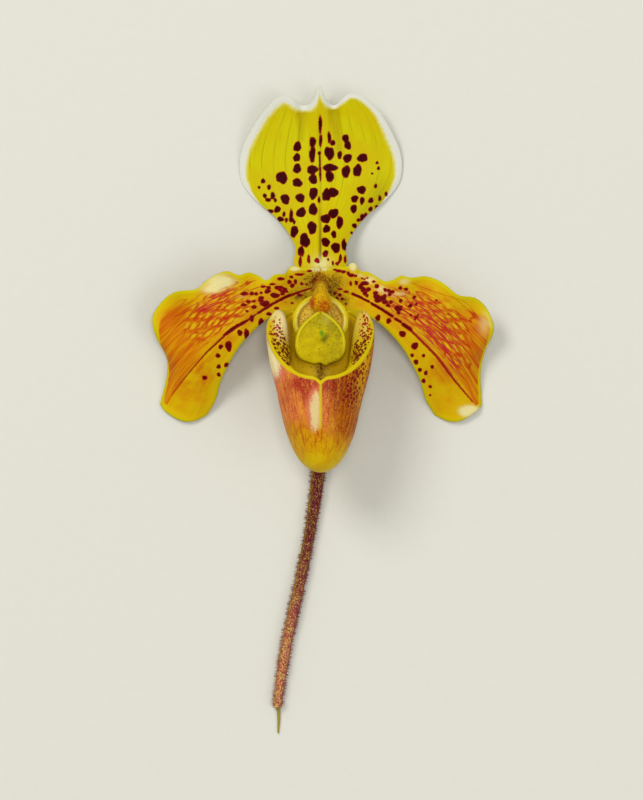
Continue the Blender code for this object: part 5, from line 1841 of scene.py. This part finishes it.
# %% Hairs: where they stand
LOWEST_ROOT = 0.3
TABLE_GAP = 0.08
NUDGE = 0.002  # step in u and v over which a surface's slope is measured


def tilted(direction, dice, amount):
    return (direction + Vector([dice.uniform(-amount, amount) for _ in range(3)])).normalized()


def hairs_on_tube(shape, count, v_range, lengths, seed, tilt=0.3):
    """Hairs that stand off a tube, apart from those that would reach the table."""
    dice = random.Random(seed)
    hairs = []
    for _ in range(count):
        u, v = dice.random(), dice.uniform(*v_range)
        around = np.array([u, u + 5 * NUDGE, u])
        along = np.array([v, v, v + NUDGE if v < 0.99 else v - NUDGE])
        root, beside, beyond = np.array(shape(around, along)).T
        normal = np.cross(beside - root, beyond - root)
        middle = np.array(shape(np.linspace(0, 1, 9)[:-1], np.full(8, v))).mean(axis=1)
        if normal @ (root - middle) < 0:
            normal = -normal
        direction = tilted(Vector(normal).normalized(), dice, tilt)
        length = dice.uniform(*lengths)
        if root[2] + direction.z * length > TABLE_GAP and root[2] > LOWEST_ROOT:
            hairs.append((root, direction, length))
    return hairs


def hairs_on_sheet(shape, count, inside, lengths, seed, lean=(0.0, 0.0, 0.0), tilt=0.35):
    """Hairs that stand on the front of a sheet, where inside(x, y) beats a dice."""
    dice = random.Random(seed)
    u, v = np.array([[dice.random(), dice.random()] for _ in range(count)]).T
    here = np.array(shape(u, v)).T
    beside = np.array(shape(np.clip(u + NUDGE, 0, 1), v)).T - here
    above = np.array(shape(u, np.clip(v + NUDGE, 0, 1))).T - here
    normals = np.cross(beside, above)
    wanted = np.clip(inside(here[:, 0], here[:, 1]), 0.0, 1.0)
    hairs = []
    for root, normal, chance in zip(here, normals, wanted):
        if dice.random() > chance or not normal.any():
            continue
        normal = Vector(normal if normal[2] > 0 else -normal).normalized()
        direction = tilted((normal + Vector(lean)).normalized(), dice, tilt)
        hairs.append((root, direction, dice.uniform(*lengths)))
    return hairs


def boss_hairs(count, red, seed):
    """Hairs on the boss, in its red places or outside them."""
    dice = random.Random(seed)
    hairs = []
    while len(hairs) < count:
        direction = Vector([dice.gauss(0, 1) for _ in range(3)]).normalized()
        if direction.z < 0.05:
            continue
        on_ball = (direction.x * (1.0 - BOSS_TAPER * direction.y), direction.y, direction.z)
        root = [place + size * c for place, size, c in zip(BOSS_PLACE, BOSS_SIZE, on_ball)]
        if (boss_red(*np.array(root[:2])) > dice.uniform(0.1, 0.9)) == red:
            direction = tilted(direction + Vector((0, 0.5, 0)), dice, 0.3)
            hairs.append((root, direction, dice.uniform(0.5, 1.1)))
    return hairs


print("no hair of a tube starts below", LOWEST_ROOT, "mm")

# %% [markdown]
# The stem's bristles are the stiffest and hardly lean. Those of the ovary are shorter and
# finer, the dark fuzz at the petals' feet is longer and wilder, and the boss has golden hairs,
# with orange ones in its red places. Each kind is a piece of its own, so it can change alone.

# %% Hairs: stem, ovary, petals and boss
bristle = hair_paint("hair_purple", (112, 20, 50), (156, 66, 92))
stem_bristles = hairs_on_tube(stem_shape, 3000, (0.2, 0.995), (0.8, 1.2), 21, 0.09)
grow_hairs("stem_hairs", stem_bristles, 0.15, bristle, "stem_purple")
ovary_bristles = hairs_on_tube(ovary_shape, 1300, (0.03, 0.9), (0.5, 1.0), 22)
grow_hairs("ovary_hairs", ovary_bristles, 0.12, bristle, "stem_purple")

dark_fuzz = hair_paint("hair_dark", (74, 30, 12), (128, 70, 18))
PETAL_SIDES = (
    ("left_petal_fuzz", LEFT, PETAL_UPPER_LEFT, LEFT_PATCHES),
    ("right_petal_fuzz", RIGHT, PETAL_UPPER_RIGHT, RIGHT_PATCHES),
)
for name, side, upper_margin, places in PETAL_SIDES:
    on_base = partial(base_fuzz, places=places["fuzz"])
    fuzz = hairs_on_sheet(petal_shape(upper_margin, side), 4600, on_base, (0.7, 1.5), 23 + side)
    grow_hairs(name, fuzz, 0.18, dark_fuzz, "petal_orange")

golden_fuzz = hair_paint("hair_golden", (224, 174, 8), (240, 208, 30))
orange_fuzz = hair_paint("hair_orange", (204, 72, 8), (228, 132, 12))
grow_hairs("boss_hairs_golden", boss_hairs(650, False, 26), 0.12, golden_fuzz, "shield_lemon")
grow_hairs("boss_hairs_orange", boss_hairs(500, True, 27), 0.14, orange_fuzz, "shield_lemon")

# %% [markdown]
# Two small tufts are left. Long amber hairs rise round the foot of the column, from the petals
# and from the stalk. A brown tuft lies on the floor of the pouch, just behind its notch. The
# pouch's back wall is a sheet too, if only the back half of its turn is used.

# %% Hairs: column and pouch
def around_column(x, y):
    return 1.2 * patch(x, y, 0.3, 1.5, 2.0, 1.4)


def pouch_floor(x, y):
    return 1.5 * patch(x, y, 0.0, -28.2, 1.3, 2.6)


def pouch_back(u, v):
    x, y, z = pouch_shape(0.5 * (u - 0.5) % 1.0, v * WALL_SHARE)
    return x, y, z + POUCH_WALL


beard = []
for name, side, upper_margin, places in PETAL_SIDES:
    sheet = petal_shape(upper_margin, side)
    beard += hairs_on_sheet(sheet, 5000, around_column, (1.4, 2.6), 31 + side, (0.0, 1.2, 0.0), 0.5)
beard += hairs_on_tube(column_shape, 300, (0.0, 0.6), (0.6, 1.2), 34, 0.5)
amber = hair_paint("hair_amber", (168, 66, 6), (214, 150, 14))
grow_hairs("column_hairs", beard, 0.14, amber, "column_cream")
tuft = hairs_on_sheet(pouch_back, 9000, pouch_floor, (0.8, 1.6), 41, (0.0, 0.6, 0.0))
brown = hair_paint("hair_brown", (110, 56, 16), (164, 100, 30))
grow_hairs("pouch_tuft", tuft, 0.16, brown, "pouch_russet")

# %% [markdown]
# A colour can only be judged in its light. The floor is plain and pale. One large soft lamp
# stands to the upper left, a weaker one fills the other side, a third shines down into the
# pouch from behind the camera, and a pale sky lights the rest. The camera looks straight down
# from far away through a long lens, so that the raised pouch doesn't look larger than it is.

# %% Floor, light and camera
VIEW_SIZE = (205.8, 256.0)  # what the picture shows at the table, in millimetres
VIEW_MIDDLE = (0.3, -37.1)
CAMERA_HEIGHT = 3.0  # metres
SENSOR = 36.0
FLOOR_SIZE = 6.0
KEY_LIGHT = ((-0.95, 1.0, 1.75), 0.9, 19.5)  # place, size and power
FILL_LIGHT = ((1.1, -0.5, 1.5), 1.2, 6.0)
TOP_LIGHT = ((0.15, 0.25, 3.4), 0.7, 26.0)
SKY_STRENGTH = 0.4


def floor_sheet(bm):
    bmesh.ops.create_grid(bm, x_segments=1, y_segments=1, size=FLOOR_SIZE / 2)


def make_floor():
    mesh = new_mesh("floor", floor_sheet)
    paint = Paint("floor_pale")
    paint.ground((221, 220, 208), (225, 224, 212), paint.cloud(3.0, 4.0, 0.6))
    mesh.materials.append(paint.done(0.9, None, 0.1))
    floor = bpy.data.objects.new("floor", mesh)
    bpy.context.scene.collection.objects.link(floor)


def soft_lamp(name, place, size, power):
    lamp = bpy.data.lights.new(name, "AREA")
    lamp.shape = "DISK"
    lamp.size = size
    lamp.energy = power
    holder = bpy.data.objects.new(name, lamp)
    holder.location = place
    holder.rotation_euler = (-Vector(place)).to_track_quat("-Z", "Y").to_euler()
    bpy.context.scene.collection.objects.link(holder)


def make_camera():
    lens = bpy.data.cameras.new("camera")
    lens.sensor_fit = "VERTICAL"
    lens.sensor_height = SENSOR
    lens.lens = SENSOR * CAMERA_HEIGHT / (VIEW_SIZE[1] * MM)
    lens.clip_end = 20.0
    camera = bpy.data.objects.new("camera", lens)
    camera.location = (VIEW_MIDDLE[0] * MM, (VIEW_MIDDLE[1] - REST_SPOT_Y) * MM, CAMERA_HEIGHT)
    bpy.context.scene.collection.objects.link(camera)
    bpy.context.scene.camera = camera


make_floor()
soft_lamp("key_light", *KEY_LIGHT)
soft_lamp("fill_light", *FILL_LIGHT)
soft_lamp("top_light", *TOP_LIGHT)
make_camera()
sky = bpy.data.worlds.new("sky")
sky.use_nodes = True
sky.node_tree.nodes["Background"].inputs["Color"].default_value = (1.0, 1.0, 0.98, 1.0)
sky.node_tree.nodes["Background"].inputs["Strength"].default_value = SKY_STRENGTH
bpy.context.scene.world = sky
bpy.context.scene.view_settings.view_transform = "Standard"
print("the picture shows", VIEW_SIZE, "mm")
